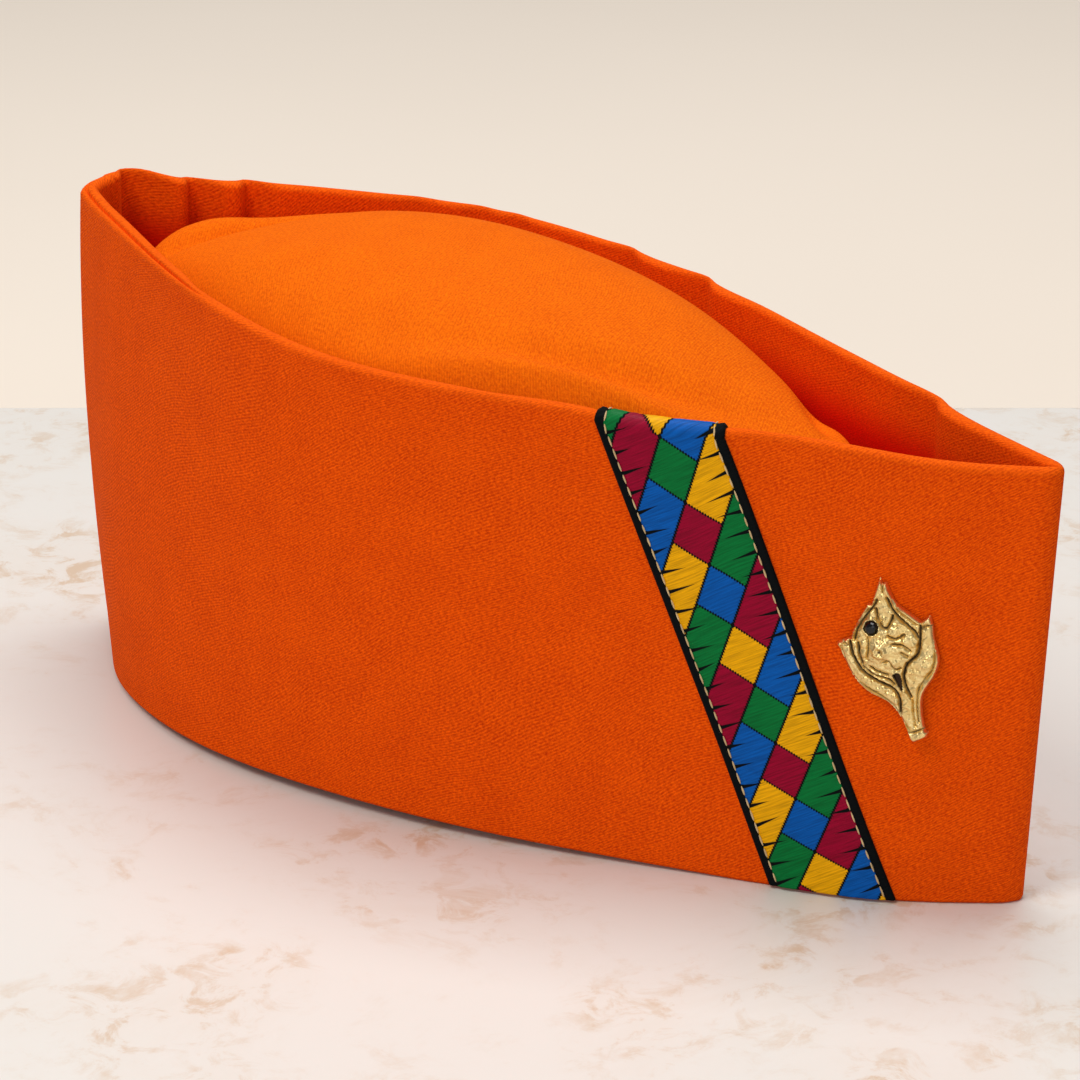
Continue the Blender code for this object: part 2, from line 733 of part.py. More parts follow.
def helper(name, body, made_material):
    """A cutter or an addition at the brooch's place that isn't a piece of its own."""
    obj = finished(name, body, made_material)
    obj.matrix_world = scaled_frame(badge_frame())
    obj.hide_render = True
    obj.display_type = "WIRE"
    return obj


def combine(obj, other, operation):
    modifier = obj.modifiers.new(other.name, "BOOLEAN")
    modifier.operation = operation
    modifier.object = other
    modifier.solver = "EXACT"


def join_post(obj, gold):
    end, root = -POST_LENGTH, BADGE_BACK / 2
    profile = [(0, end), (POST_RADIUS, end + POST_RADIUS), (POST_RADIUS, root), (0, root)]
    combine(obj, helper("post", turned(profile, POST_SIDES), gold), "UNION")


def post_hole(band, cloth):
    end, start = -POST_LENGTH, BADGE_BACK
    profile = [(0, end), (POST_HOLE_RADIUS, end), (POST_HOLE_RADIUS, start), (0, start)]
    combine(band, helper("post_hole", turned(profile, POST_SIDES), cloth), "DIFFERENCE")


def badge_clutch(steel):
    """A plain turned clutch, hidden between the band and the crown, on the end of the post."""
    bore = POST_RADIUS + GAP
    start = -(BADGE_AIR + BAND_THICKNESS + CLUTCH_AIR)
    profile = [
        (bore, start),
        (CLUTCH_RADIUS, start),
        (CLUTCH_RADIUS, start - CLUTCH_DEPTH / 2),
        (CLUTCH_LIP, start - CLUTCH_DEPTH),
        (bore, start - CLUTCH_DEPTH),
        (bore, start),
    ]
    obj = finished("badge_clutch", turned(profile, 12), steel, 30)
    obj.matrix_world = scaled_frame(badge_frame())
    return obj


def badge_stone(jet):
    """A small round stone: a table, eight crown facets and a flat seat."""
    table_radius = seat_radius = STONE_RADIUS * 0.7
    girdle, top = STONE_HEIGHT * 0.55, STONE_HEIGHT
    profile = [(0, 0), (seat_radius, 0), (STONE_RADIUS, girdle), (table_radius, top), (0, top)]
    obj = finished("badge_stone", turned(profile, 8), jet, 20)
    seat = Matrix.Translation((*STONE_PLACE, BADGE_BACK + STONE_SEAT + GAP))
    obj.matrix_world = scaled_frame(badge_frame() @ seat)
    return obj


def main():
    for obj in list(bpy.data.objects):
        bpy.data.objects.remove(obj, do_unlink=True)
    orange_twill = material("orange_twill", (222, 84, 14), 0.85)
    orange_nap = material("orange_crown_cloth", (240, 106, 16), 0.9)
    orange_lining = material("orange_lining", (205, 74, 14), 0.9)
    woven = material("woven_ribbon", (24, 96, 72), 0.6)
    gold = material("antique_gold", (214, 176, 96), 0.35, 1.0)
    steel = material("plated_steel", (196, 186, 160), 0.4, 1.0)
    jet = material("black_stone", (12, 12, 16), 0.12)
    band = outer_band(orange_twill)
    inner_band(orange_lining)
    crown_panel(orange_nap)
    ribbon(woven)
    badge(gold)
    post_hole(band, orange_twill)
    badge_clutch(steel)
    badge_stone(jet)


main()
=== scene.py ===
"""The looks of a pahadi cap: a stiffened band of orange wool twill folded to a point at the
front, a domed crown of napped cloth set down inside it, a slanting harlequin ribbon sewn on
with two rows of stitches, and a cast flower-bud brooch with a black stone.

Tables and sizes are in millimetres, in the frame of the CAD model: +X points to the folded
front, the ribbon side faces -Y, +Z is up and the hem rests on z = 0.
"""

import math

import bpy
import numpy as np
from mathutils import Matrix, Vector, noise
from mathutils.geometry import delaunay_2d_cdt


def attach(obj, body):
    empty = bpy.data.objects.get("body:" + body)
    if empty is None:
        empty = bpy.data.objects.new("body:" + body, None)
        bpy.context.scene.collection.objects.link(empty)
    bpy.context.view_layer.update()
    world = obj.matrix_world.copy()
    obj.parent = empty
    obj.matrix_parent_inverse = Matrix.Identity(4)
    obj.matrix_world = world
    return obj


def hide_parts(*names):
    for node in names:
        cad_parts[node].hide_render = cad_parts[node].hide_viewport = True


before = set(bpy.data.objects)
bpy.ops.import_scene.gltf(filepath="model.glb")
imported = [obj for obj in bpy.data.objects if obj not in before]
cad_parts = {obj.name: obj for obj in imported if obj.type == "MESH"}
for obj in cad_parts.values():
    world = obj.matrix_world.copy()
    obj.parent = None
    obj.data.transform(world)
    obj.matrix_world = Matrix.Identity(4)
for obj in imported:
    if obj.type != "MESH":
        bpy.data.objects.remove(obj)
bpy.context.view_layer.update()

MM = 0.001

# Camera: a long lens a little above the cap, turned toward the folded front
CAMERA_TURN, CAMERA_RISE = 37.876, 21.0
CAMERA_DISTANCE, CAMERA_TARGET_HEIGHT = 870.38, 50.0
LENS, SENSOR = 133.333, 36.0
SHIFT_X, SHIFT_Y = 0.002237, -0.002855


def new_object(name, data):
    obj = bpy.data.objects.new(name, data)
    bpy.context.scene.collection.objects.link(obj)
    return obj


def make_camera():
    turn, rise = math.radians(CAMERA_TURN), math.radians(CAMERA_RISE)
    right = Vector((math.cos(turn), math.sin(turn), 0))
    level = math.cos(rise)
    back = Vector((math.sin(turn) * level, -math.cos(turn) * level, math.sin(rise)))
    up = back.cross(right)
    data = bpy.data.cameras.new("camera")
    data.lens, data.sensor_width = LENS, SENSOR
    data.shift_x, data.shift_y = SHIFT_X, SHIFT_Y
    data.clip_start, data.clip_end = 0.05, 50
    camera = new_object("camera", data)
    place = Matrix((right, up, back)).transposed().to_4x4()
    place.translation = Vector((0, 0, CAMERA_TARGET_HEIGHT * MM)) + back * CAMERA_DISTANCE * MM
    camera.matrix_world = place
    bpy.context.scene.camera = camera


make_camera()
bpy.context.scene.view_settings.view_transform = "Standard"

# Sizes of the band, the crown, the ribbon and the brooch
GAP = 0.3
TOP_BACK, TOP_FRONT = -127.5, 129.7
HEM_BACK, HEM_FRONT = -125.4, 125.0
BACK_HEIGHT, FRONT_HEIGHT = 108.7, 93.5
TOP_BACK_ROUND, HEM_BACK_ROUND = 4.0, 8.0
FRONT_FOLD_ROUND = 2.5
HEM_ARCH, ARCH_START, ARCH_END = 2.2, 0.04, 0.80
BAND_THICKNESS, HEM_ROUND = 3.0, 0.6
FOLD_SLIT, FOLD_NOSE = 0.3, 1.6
LINING_THICKNESS, LINING_LIFT = 1.8, 1.0
LINING_FOLD, LINING_NOSE = 5.0, 4.0
CROWN_BACK, CROWN_FRONT = -111.0, 88.0
CROWN_THICKNESS, CROWN_CLEARANCE = 1.8, 2.4
CROWN_BACK_ROUND, CROWN_FRONT_ROUND = 15.0, 26.0
CROWN_BACK_SLOPE, CROWN_FRONT_SLOPE = 12.0, 24.0
CROWN_SHOULDER = 2.6
RIBBON_WIDTH, RIBBON_THICKNESS = 24.4, 0.75
RIBBON_FOOT, RIBBON_HEAD, RIBBON_AIR = 39.7, 82.4, 0.3
RIBBON_LIFT = 2.1  # of the hem off the table at the ribbon's foot
PRESS_DEPTH, PRESS_EASE, PRESS_HALF = 1.3, 4.0, 13.0
STITCH_ROW = 10.3  # of the ribbon's two rows of stitches from its middle
TILE = 13.0  # along the ribbon from one diamond to the next
TILE_SLANT = 1.17  # of the lines between them
TILE_SPAN = 0.65  # of a tile's length, from one of its sides to the other, square to them
# The tiles grow up the tape: the place where they are counted from, the length of a tile
# there, and half of what each next one down is shorter by
TILE_START, TILE_FIRST, TILE_SHRINK = 87.3, 14.2, 0.21
BADGE_FROM_FOLD, BADGE_HEIGHT = 33.5, 53.9
BADGE_BACK, BADGE_AIR = 1.0, 0.55
POST_RADIUS, POST_LENGTH = 0.6, 6.4
CLUTCH_RADIUS, CLUTCH_DEPTH, CLUTCH_LIP, CLUTCH_AIR = 3.5, 1.6, 2.0, 0.75
STONE_RADIUS, STONE_HEIGHT, STONE_SEAT = 1.25, 1.1, 0.3


def table(columns, rows):
    """One array for each named column of a short table."""
    return dict(zip(columns.split(), np.array(rows, float).T))


# The band from its back, 0, to its front fold, 1
SECTIONS = table(
    "along ribbon_top plain_top hem ribbon_dip plain_dip belly",
    [
        (0.00, 8.6, 8.6, 6.4, 0.9, 1.8, 2.3),
        (0.03, 13.2, 12.8, 12.7, 0.3, 0.0, 2.5),
        (0.08, 20.4, 20.6, 25.1, 0.4, 0.0, 2.3),
        (0.16, 30.9, 31.2, 38.8, 0.2, 0.6, 1.3),
        (0.28, 44.1, 45.1, 48.9, -0.1, 0.7, 0.3),
        (0.42, 50.2, 48.8, 50.8, -1.3, 0.4, 0.0),
        (0.56, 44.0, 43.2, 46.4, -1.2, 0.3, 0.0),
        (0.70, 29.9, 31.0, 36.5, -1.1, 0.4, 0.0),
        (0.82, 16.8, 19.8, 26.3, -1.2, 0.8, 0.0),
        (0.92, 9.7, 9.4, 16.4, -0.6, 1.1, 0.0),
        (1.00, 2.4, 2.4, 2.4, 1.6, 1.6, 0.0),
    ],
)

# Soft upright puckers of the band's inner face, positive for a hollow. front is how much
# steeper a hollow is on the side towards the cap's front.
PUCKERS = table(
    "side place width depth reach front",
    [
        (1, 0, 95.0, 1.1, 12, 1.0),
        (1, -64, 5.0, 2.0, 18, 1.5),
        (1, -50, 4.5, 2.2, 18, 1.5),
        (1, -41, 4.0, 1.8, 18, 1.5),
        (1, -10, 5.0, 2.2, 24, 2.2),
        (1, -2, 5.0, -1.6, 22, 0.8),
        (1, 13, 5.0, 2.5, 26, 2.2),
        (1, 21, 6.0, -1.6, 24, 0.8),
        (1, 88, 8.0, 2.1, 34, 2.2),
        (1, 99, 8.0, -1.2, 26, 0.8),
        (-1, -112, 38.0, -1.5, 9, 1.0),
        (-1, -60, 6.0, 0.9, 20, 1.0),
        (-1, 20, 6.0, 0.9, 20, 1.0),
        (-1, 74, 7.0, 1.0, 24, 1.0),
    ],
)

# Folds of the plain side's inner cloth where it meets the back end: a pocket, then bulges and
# creases. from_back is along the top edge from the back's middle.
END_FOLDS = table(
    "from_back width depth reach",
    [
        (1.8, 1.6, -0.8, 60),
        (7.0, 2.6, 4.0, 60),
        (15.5, 3.2, -3.2, 40),
        (22.0, 2.2, 4.6, 44),
        (29.0, 3.2, -2.2, 30),
        (35.6, 2.2, 4.0, 36),
        (42.0, 3.2, -1.2, 24),
    ],
)
END_FOLD_EASE = 0.6  # how much gentler a fold is on its side towards the cap's front
FOLD_FOLLOW = 0.45  # of a fold's depth that the plain side's outer face takes part in
FOLD_DIP = 0.07  # of a fold's depth that the top edge drops by

# Places along the top edge from the back's middle: where the two sides' heights run into each
# other, where the plain side's corner lies and dips, and where its outer face starts to follow
JOIN_START, JOIN_END = -3.0, 3.5
CORNER_PLACE, CORNER_HALF, CORNER_DROP = 4.0, 5.0, 0.7
FOLLOW_START, FOLLOW_END = 1.0, 6.0

# The crown from end to end: its seam's height and its ridge's height
CROWN = table(
    "place seam ridge",
    [
        (-111, 86, 98.0),
        (-100, 87, 101.0),
        (-85, 87, 104.8),
        (-65, 86, 109.4),
        (-40, 85, 112.0),
        (-15, 84, 111.0),
        (10, 82, 108.0),
        (35, 79, 101.5),
        (60, 75, 90.6),
        (74, 72, 85.6),
        (88, 70, 82.0),
    ],
)

# Soft folds of the crown cloth, negative for a dent
CROWN_FOLDS = table(
    "place across length width turn rise",
    [
        (-94, 0, 10, 6, 35, 2.2),
        (-84, -2, 19, 3.4, 44, -3.6),
        (-16, -36, 30, 6, 10, -1.3),
        (22, -28.5, 28, 3.4, 22, 4.0),
        (33, -18, 26, 4.5, 28, -3.4),
        (61, 16, 9, 2.8, -40, -3.8),
        (69, 19, 8, 4, -40, 1.8),
        (-60, -24, 30, 9, 20, 0.8),
        (0, 18, 34, 10, -14, 0.5),
    ],
)


# Curves and plans


def spline(places, values):
    """A natural cubic spline through one column of a table, as a function of the place."""
    gaps = np.diff(places)
    slopes = np.diff(values) / gaps
    count = len(places)
    system, right = np.eye(count), np.zeros(count)
    for i in range(1, count - 1):
        system[i, i - 1 : i + 2] = gaps[i - 1], 2 * (gaps[i - 1] + gaps[i]), gaps[i]
        right[i] = 6 * (slopes[i] - slopes[i - 1])
    bends = np.linalg.solve(system, right)

    def at(x):
        x = np.clip(np.asarray(x, float), places[0], places[-1])
        i = np.clip(np.searchsorted(places, x) - 1, 0, count - 2)
        after = (x - places[i]) / gaps[i]
        before = 1 - after
        curve = (before**3 - before) * bends[i] + (after**3 - after) * bends[i + 1]
        return before * values[i] + after * values[i + 1] + curve * gaps[i] ** 2 / 6

    return at


SECTION = {name: spline(SECTIONS["along"], column) for name, column in SECTIONS.items()}
SEAM = spline(CROWN["place"], CROWN["seam"])
RIDGE = spline(CROWN["place"], CROWN["ridge"])


def ease(value, start, end):
    """0 before start and 1 after end, with a smooth climb between them."""
    t = np.clip((value - start) / (end - start), 0, 1)
    return t * t * (3 - 2 * t)


def end_rounding(distance, radius):
    reach = np.clip(distance / radius, 0, 1)
    return np.sqrt(1 - (1 - reach) ** 2)


def plan_of(back, front, back_round, ribbon_width, plain_width):
    fine_ends = (1 - np.cos(np.linspace(0, math.pi, 900))) / 2
    x = back + (front - back) * fine_ends
    ends = end_rounding(x - back, back_round) * end_rounding(front - x, FRONT_FOLD_ROUND)
    return {"x": x, -1: ribbon_width(fine_ends) * ends, 1: plain_width(fine_ends) * ends}


def inset(plan, depth, slit, nose):
    """The plan one thickness further in, with a slit left where the two sides would meet."""
    back, front = plan["x"][0] + depth, plan["x"][-1] - nose
    x = back + (front - back) * (1 - np.cos(np.linspace(0, math.pi, 900))) / 2
    inner = {"x": x}
    for side in (-1, 1):
        width = np.full(len(x), 1e3)
        for reach in np.linspace(-depth, depth, 41):
            cover = np.interp(x + reach, plan["x"], plan[side], left=0, right=0)
            width = np.minimum(width, cover - math.sqrt(depth**2 - reach**2))
        width = np.maximum(width, slit)
        width[0] = width[-1] = 0
        inner[side] = width
    return inner


def walk(plan, side, shares):
    """Plan points at shares of a side's length, from the front fold to the back."""
    x, y = plan["x"][::-1], side * plan[side][::-1]
    run = np.concatenate([[0], np.cumsum(np.hypot(np.diff(x), np.diff(y)))])
    at = np.asarray(shares, float) * run[-1]
    return np.stack([np.interp(at, run, x), np.interp(at, run, y)], axis=-1)


def side_length(plan, side):
    return np.hypot(np.diff(plan["x"]), np.diff(plan[side])).sum()


def graded_shares(length, first, growth, widest):
    """Shares of a side's length: close together at both ends and even between them."""
    steps = [first]
    while steps[-1] * growth < widest:
        steps.append(steps[-1] * growth)
    ends = np.concatenate([[0], np.cumsum(steps)])
    middle = length - 2 * ends[-1]
    count = round(middle / widest)
    between = ends[-1] + middle * np.arange(1, count) / count
    return np.concatenate([ends, between, length - ends[::-1]]) / length


TOP = plan_of(TOP_BACK, TOP_FRONT, TOP_BACK_ROUND, SECTION["ribbon_top"], SECTION["plain_top"])
HEM = plan_of(HEM_BACK, HEM_FRONT, HEM_BACK_ROUND, SECTION["hem"], SECTION["hem"])
INNER_TOP = inset(TOP, BAND_THICKNESS, FOLD_SLIT, FOLD_NOSE)
INNER_HEM = inset(HEM, BAND_THICKNESS, FOLD_SLIT, FOLD_NOSE)
RIBBON_SIDE_LENGTH = side_length(TOP, -1)


def ribbon_press(x):
    """How far the ribbon presses the top edge down on its own side."""
    ends = [(RIBBON_HEAD + part * PRESS_HALF) / RIBBON_SIDE_LENGTH for part in (1, -1)]
    back, front = walk(TOP, -1, ends)[:, 0]
    return PRESS_DEPTH / 2 * (np.tanh((x - back) / PRESS_EASE) - np.tanh((x - front) / PRESS_EASE))


def top_height(side, x):
    along = np.clip((x - TOP_BACK) / (TOP_FRONT - TOP_BACK), 0, 1)
    level = BACK_HEIGHT + (FRONT_HEIGHT - BACK_HEIGHT) * along
    if side < 0:
        return level + SECTION["ribbon_dip"](along) - ribbon_press(x)
    return level + SECTION["plain_dip"](along)


def hem_height(x):
    along = (x - HEM_BACK) / (HEM_FRONT - HEM_BACK)
    arch = np.clip((along - ARCH_START) / (ARCH_END - ARCH_START), 0, 1)
    return HEM_ARCH * np.sin(math.pi * arch)


def pucker_depth(side, shares, x, down):
    depth = np.zeros(len(x))
    from_back = side * (1 - np.asarray(shares)) * RIBBON_SIDE_LENGTH
    for place, width, deep, reach in zip(*END_FOLDS.values()):
        off = (from_back - place) / width * np.where(from_back > place, END_FOLD_EASE, 1)
        depth += deep * np.exp(-(off**2) - (down / reach) ** 2)
    for where, place, width, deep, reach, front in zip(*PUCKERS.values()):
        if where == side:
            off = (x - place) / width * np.where(x > place, front, 1)
            depth += deep * np.exp(-(off**2) - (down / reach) ** 2)
    return depth


RIPPLE_EASE = 16.0  # from each end of the band, where the ripple fades in


def wall_ripple(x, height):
    """Slow unevenness of the stiffened wall, a few tenths of a millimetre."""
    slow = np.sin(x / 19 + height / 37 + 0.6) * np.sin(height / 27 - x / 43)
    return 0.24 * slow + 0.09 * np.sin(x / 7.3 - height / 12.1) * np.sin(height / 9.7 + 1.1)


# Where the outer cloth's turned edge lies on the roll, at the back of the ribbon side: a groove
# and the plump cloth past it, by their degrees over the roll
EDGE_SEAM_TURN, EDGE_SEAM_HALF, EDGE_SEAM_DEPTH = 66, 9, 1.15
EDGE_PLUMP_TURN, EDGE_PLUMP_HALF, EDGE_PLUMP_RISE = 118, 34, 0.45
EDGE_SEAM_END, EDGE_SEAM_EASE = -52.0, 22.0


def edge_seam(side, x, turn):
    """How far the roll stands out at the seam near its top: less than 0 in the groove."""
    if side > 0:
        return 0 * x
    here = 1 - ease(x, EDGE_SEAM_END - EDGE_SEAM_EASE, EDGE_SEAM_END)
    degrees = math.degrees(turn)
    groove = math.exp(-(((degrees - EDGE_SEAM_TURN) / EDGE_SEAM_HALF) ** 2))
    plump = math.exp(-(((degrees - EDGE_PLUMP_TURN) / EDGE_PLUMP_HALF) ** 2))
    return here * (EDGE_PLUMP_RISE * plump - EDGE_SEAM_DEPTH * groove)


def band_points(side, shares, climb, fine=True):
    """Points of the band's skin at shares of a side. climb is 0 to 1 up the outer face,
    1 to 2 over the rolled top edge and 2 to 3 down the inner face."""
    outer_top, outer_hem = walk(TOP, side, shares), walk(HEM, side, shares)
    inner_top, inner_hem = walk(INNER_TOP, side, shares), walk(INNER_HEM, side, shares)
    roll = BAND_THICKNESS / 2
    from_back = side * (1 - np.asarray(shares)) * RIBBON_SIDE_LENGTH
    join = SECTIONS["plain_dip"][0] - SECTIONS["ribbon_dip"][0]
    head = top_height(side, outer_top[:, 0]) - roll
    head = head + join * (ease(from_back, JOIN_START, JOIN_END) - (side > 0))
    head = head - CORNER_DROP * np.exp(-(((from_back - CORNER_PLACE) / CORNER_HALF) ** 2))
    foot = hem_height(outer_hem[:, 0]) + HEM_ROUND
    across = outer_top - inner_top
    outward = across / np.linalg.norm(across, axis=1, keepdims=True)
    follow = FOLD_FOLLOW * ease(from_back, FOLLOW_START, FOLLOW_END) * (side > 0)
    fold = pucker_depth(side, shares, inner_top[:, 0], 0)
    across = across - outward * (fold * (1 - follow))[:, None]
    rise = min(climb if climb <= 1 else max(0.0, 3 - climb), 1.0)
    along = np.clip((outer_top[:, 0] - TOP_BACK) / (TOP_FRONT - TOP_BACK), 0, 1)
    swell = 4 * rise * (1 - rise) * SECTION["belly"](along)
    height = foot + (head - foot) * rise
    if fine:
        ends = ease(outer_top[:, 0], TOP_BACK, TOP_BACK + RIPPLE_EASE)
        ends = ends * (1 - ease(outer_top[:, 0], TOP_FRONT - RIPPLE_EASE, TOP_FRONT))
        ripple = wall_ripple(outer_top[:, 0], height) * math.sin(math.pi * rise) ** 0.5
        swell = swell + ends * ripple
    if climb <= 1:
        plan = outer_hem + (outer_top - outer_hem) * rise
        deep = pucker_depth(side, shares, inner_top[:, 0], (head - foot) * (1 - rise))
        swell = swell + follow * deep
    elif climb < 2:
        turn = (climb - 1) * math.pi
        swell = swell + follow * fold
        plan = outer_top - across / 2 * (1 - math.cos(turn))
        height = height + roll * math.sin(turn)
        if fine:
            out = edge_seam(side, outer_top[:, 0], turn)
            plan = plan + outward * (out * math.cos(turn))[:, None]
            height = height + out * math.sin(turn)
    else:
        plan = inner_hem + (inner_top - inner_hem) * rise
        swell = swell + pucker_depth(side, shares, inner_top[:, 0], (head - foot) * (1 - rise))
    height = height - FOLD_DIP * fold * rise**6 * (side > 0)
    return np.column_stack([plan + outward * swell[:, None], height])


def hem_underside(side, shares, inner):
    outer_hem, inner_hem = walk(HEM, side, shares), walk(INNER_HEM, side, shares)
    across = inner_hem - outer_hem
    share = HEM_ROUND / BAND_THICKNESS
    plan = outer_hem + across * (1 - share if inner else share)
    return np.column_stack([plan, hem_height(outer_hem[:, 0])])


def closed_ring(points_of_side, shares):
    """One loop round the cap: back along the ribbon side, then forward along the plain side."""
    there = points_of_side(-1, shares)
    back = points_of_side(1, shares)[::-1][1:-1]
    return np.concatenate([there, back])


def places_round(shares, length):
    """The lengths walked round a closed ring at its points, and at its start once more."""
    there = shares * length
    return np.concatenate([there, (2 * length - there)[::-1][1:-1], [2 * length]])


# Meshes


def mesh_object(name, points, faces, cloth_places, material, facing_out=True):
    """An object from points in millimetres, faces, and each face corner's place on the flat
    cloth, also in millimetres."""
    points = np.asarray(points, float)
    faces = [list(face) for face in faces]
    if facing_out:
        fans = [(face[0], b, c) for face in faces for b, c in zip(face[1:], face[2:])]
        a, b, c = points[np.array(fans)].transpose(1, 0, 2)
        if (a * np.cross(b, c)).sum() < 0:
            faces = [face[::-1] for face in faces]
            cloth_places = [corner[::-1] for corner in cloth_places]
    mesh = bpy.data.meshes.new(name)
    mesh.from_pydata((points * MM).tolist(), [], faces)
    if len(cloth_places):
        layer = mesh.uv_layers.new(name="cloth")
        flat = np.concatenate([np.asarray(c, float) for c in cloth_places])
        layer.uv.foreach_set("vector", flat.astype(np.float32).ravel())
    mesh.validate()
    mesh.shade_smooth()
    mesh.materials.append(material)
    return new_object(name, mesh)


def quads(rows, columns, start=0, wrap_rows=False, wrap_columns=False):
    """Corner numbers of a grid's faces, with the grid corners that they lie on."""
    i, j = np.meshgrid(
        np.arange(rows if wrap_rows else rows - 1),
        np.arange(columns if wrap_columns else columns - 1),
        indexing="ij",
    )
    i, j = i.ravel(), j.ravel()
    corners = np.stack([(i, j), (i, j + 1), (i + 1, j + 1), (i + 1, j)], axis=0)
    numbers = start + corners[:, 0] % rows * columns + corners[:, 1] % columns
    return numbers.T, corners.transpose(2, 0, 1)


def ring_object(name, rings, cloth_up, cloth_round, material):
    """A closed body from loops of points, each joined to the next and the last to the first."""
    points = np.array(rings)
    rows, columns = points.shape[:2]
    faces, corners = quads(rows, columns, 0, True, True)
    places = np.stack([cloth_round[corners[..., 1]], cloth_up[corners[..., 0]]], axis=-1)
    return mesh_object(name, points.reshape(-1, 3), faces, places, material)


def sheet_object(name, front, back, cloth, material):
    """A closed body from two grids of points: its faces, and the strips that join their edges."""
    rows, columns = front.shape[:2]
    top, corners = quads(rows, columns)
    under = rows * columns + top[:, ::-1]
    places = [cloth[corners[..., 0], corners[..., 1]]]
    places.append(places[0][:, ::-1])
    border = [(0, j) for j in range(columns)] + [(i, columns - 1) for i in range(1, rows)]
    border += [(rows - 1, j) for j in range(columns - 2, -1, -1)]
    border += [(i, 0) for i in range(rows - 2, 0, -1)]
    border = np.array(border)
    after = np.roll(border, -1, axis=0)
    here, there = border @ (columns, 1), after @ (columns, 1)
    strip = np.stack([there, here, here + rows * columns, there + rows * columns], axis=1)
    a, b = cloth[border[:, 0], border[:, 1]], cloth[after[:, 0], after[:, 1]]
    places.append(np.stack([b, a, a, b], axis=1))
    points = np.concatenate([front.reshape(-1, 3), back.reshape(-1, 3)])
    faces = np.concatenate([top, under, strip])
    return mesh_object(name, points, faces, np.concatenate(places), material)


# Materials


def colour(code):
    """A linear colour from an sRGB hex value."""
    parts = [int(code[i : i + 2], 16) / 255 for i in (1, 3, 5)]
    linear = [c / 12.92 if c <= 0.04045 else ((c + 0.055) / 1.055) ** 2.4 for c in parts]
    return (*linear, 1.0)


def add(tree, kind, settings=None, inputs=None):
    """Adds one node with its settings, and its inputs as values or as sockets to link."""
    node = tree.nodes.new(kind)
    for name, value in (settings or {}).items():
        setattr(node, name, value)
    for key, value in (inputs or {}).items():
        if isinstance(key, int):
            socket = node.inputs[key]
        else:
            socket = next(s for s in node.inputs if s.enabled and s.name == key)
        if isinstance(value, bpy.types.NodeSocket):
            tree.links.new(value, socket)
        else:
            socket.default_value = value
    return next((s for s in node.outputs if s.enabled), None)


def new_material(name):
    material = bpy.data.materials.new(name)
    material.use_nodes = True
    material.node_tree.nodes.clear()
    return material, material.node_tree


def finish_material(tree, inputs):
    shader = add(tree, "ShaderNodeBsdfPrincipled", {}, inputs)
    add(tree, "ShaderNodeOutputMaterial", {}, {"Surface": shader})


MATH, MIX, MAPPING = "ShaderNodeMath", "ShaderNodeMix", "ShaderNodeMapping"
BUMP, VECTOR, SPLIT = "ShaderNodeBump", "ShaderNodeVectorMath", "ShaderNodeSeparateXYZ"


def object_place(tree):
    return add(tree, "ShaderNodeTexCoord").node.outputs["Object"]


def calc(tree, operation, *values, clamp=False):
    return add(tree, MATH, {"operation": operation, "use_clamp": clamp}, dict(enumerate(values)))


def map_range(tree, value, low, high, to_low=0.0, to_high=1.0, smooth=False):
    settings = {"interpolation_type": "SMOOTHSTEP" if smooth else "LINEAR"}
    ends = {"From Min": low, "From Max": high, "To Min": to_low, "To Max": to_high}
    return add(tree, "ShaderNodeMapRange", settings, {"Value": value, **ends})


def noise_node(tree, place, scale, detail, roughness=0.5, distortion=0.0, flat=False):
    settings = {"noise_dimensions": "2D" if flat else "3D"}
    inputs = {"Vector": place, "Scale": scale, "Detail": detail}
    inputs |= {"Roughness": roughness, "Distortion": distortion}
    return add(tree, "ShaderNodeTexNoise", settings, inputs)


def mix_colours(tree, factor, first, second, blend_type="MIX"):
    """Mixes two colours, each a hex value or a socket."""
    first, second = (colour(c) if isinstance(c, str) else c for c in (first, second))
    settings = {"data_type": "RGBA", "blend_type": blend_type}
    return add(tree, MIX, settings, {"Factor": factor, "A": first, "B": second})


# Places up the band's cloth from the hem, over the rolled top edge and down the inside: the line of
# the rolled edge's painted highlight, and the stretch of the inner face that gets painted shade
# and a smoother weave
ROLLED_EDGE = 98.0
PAINTED_SHADE_START, PAINTED_SHADE_END = (104.0, 116.0), (180.0, 150.0)


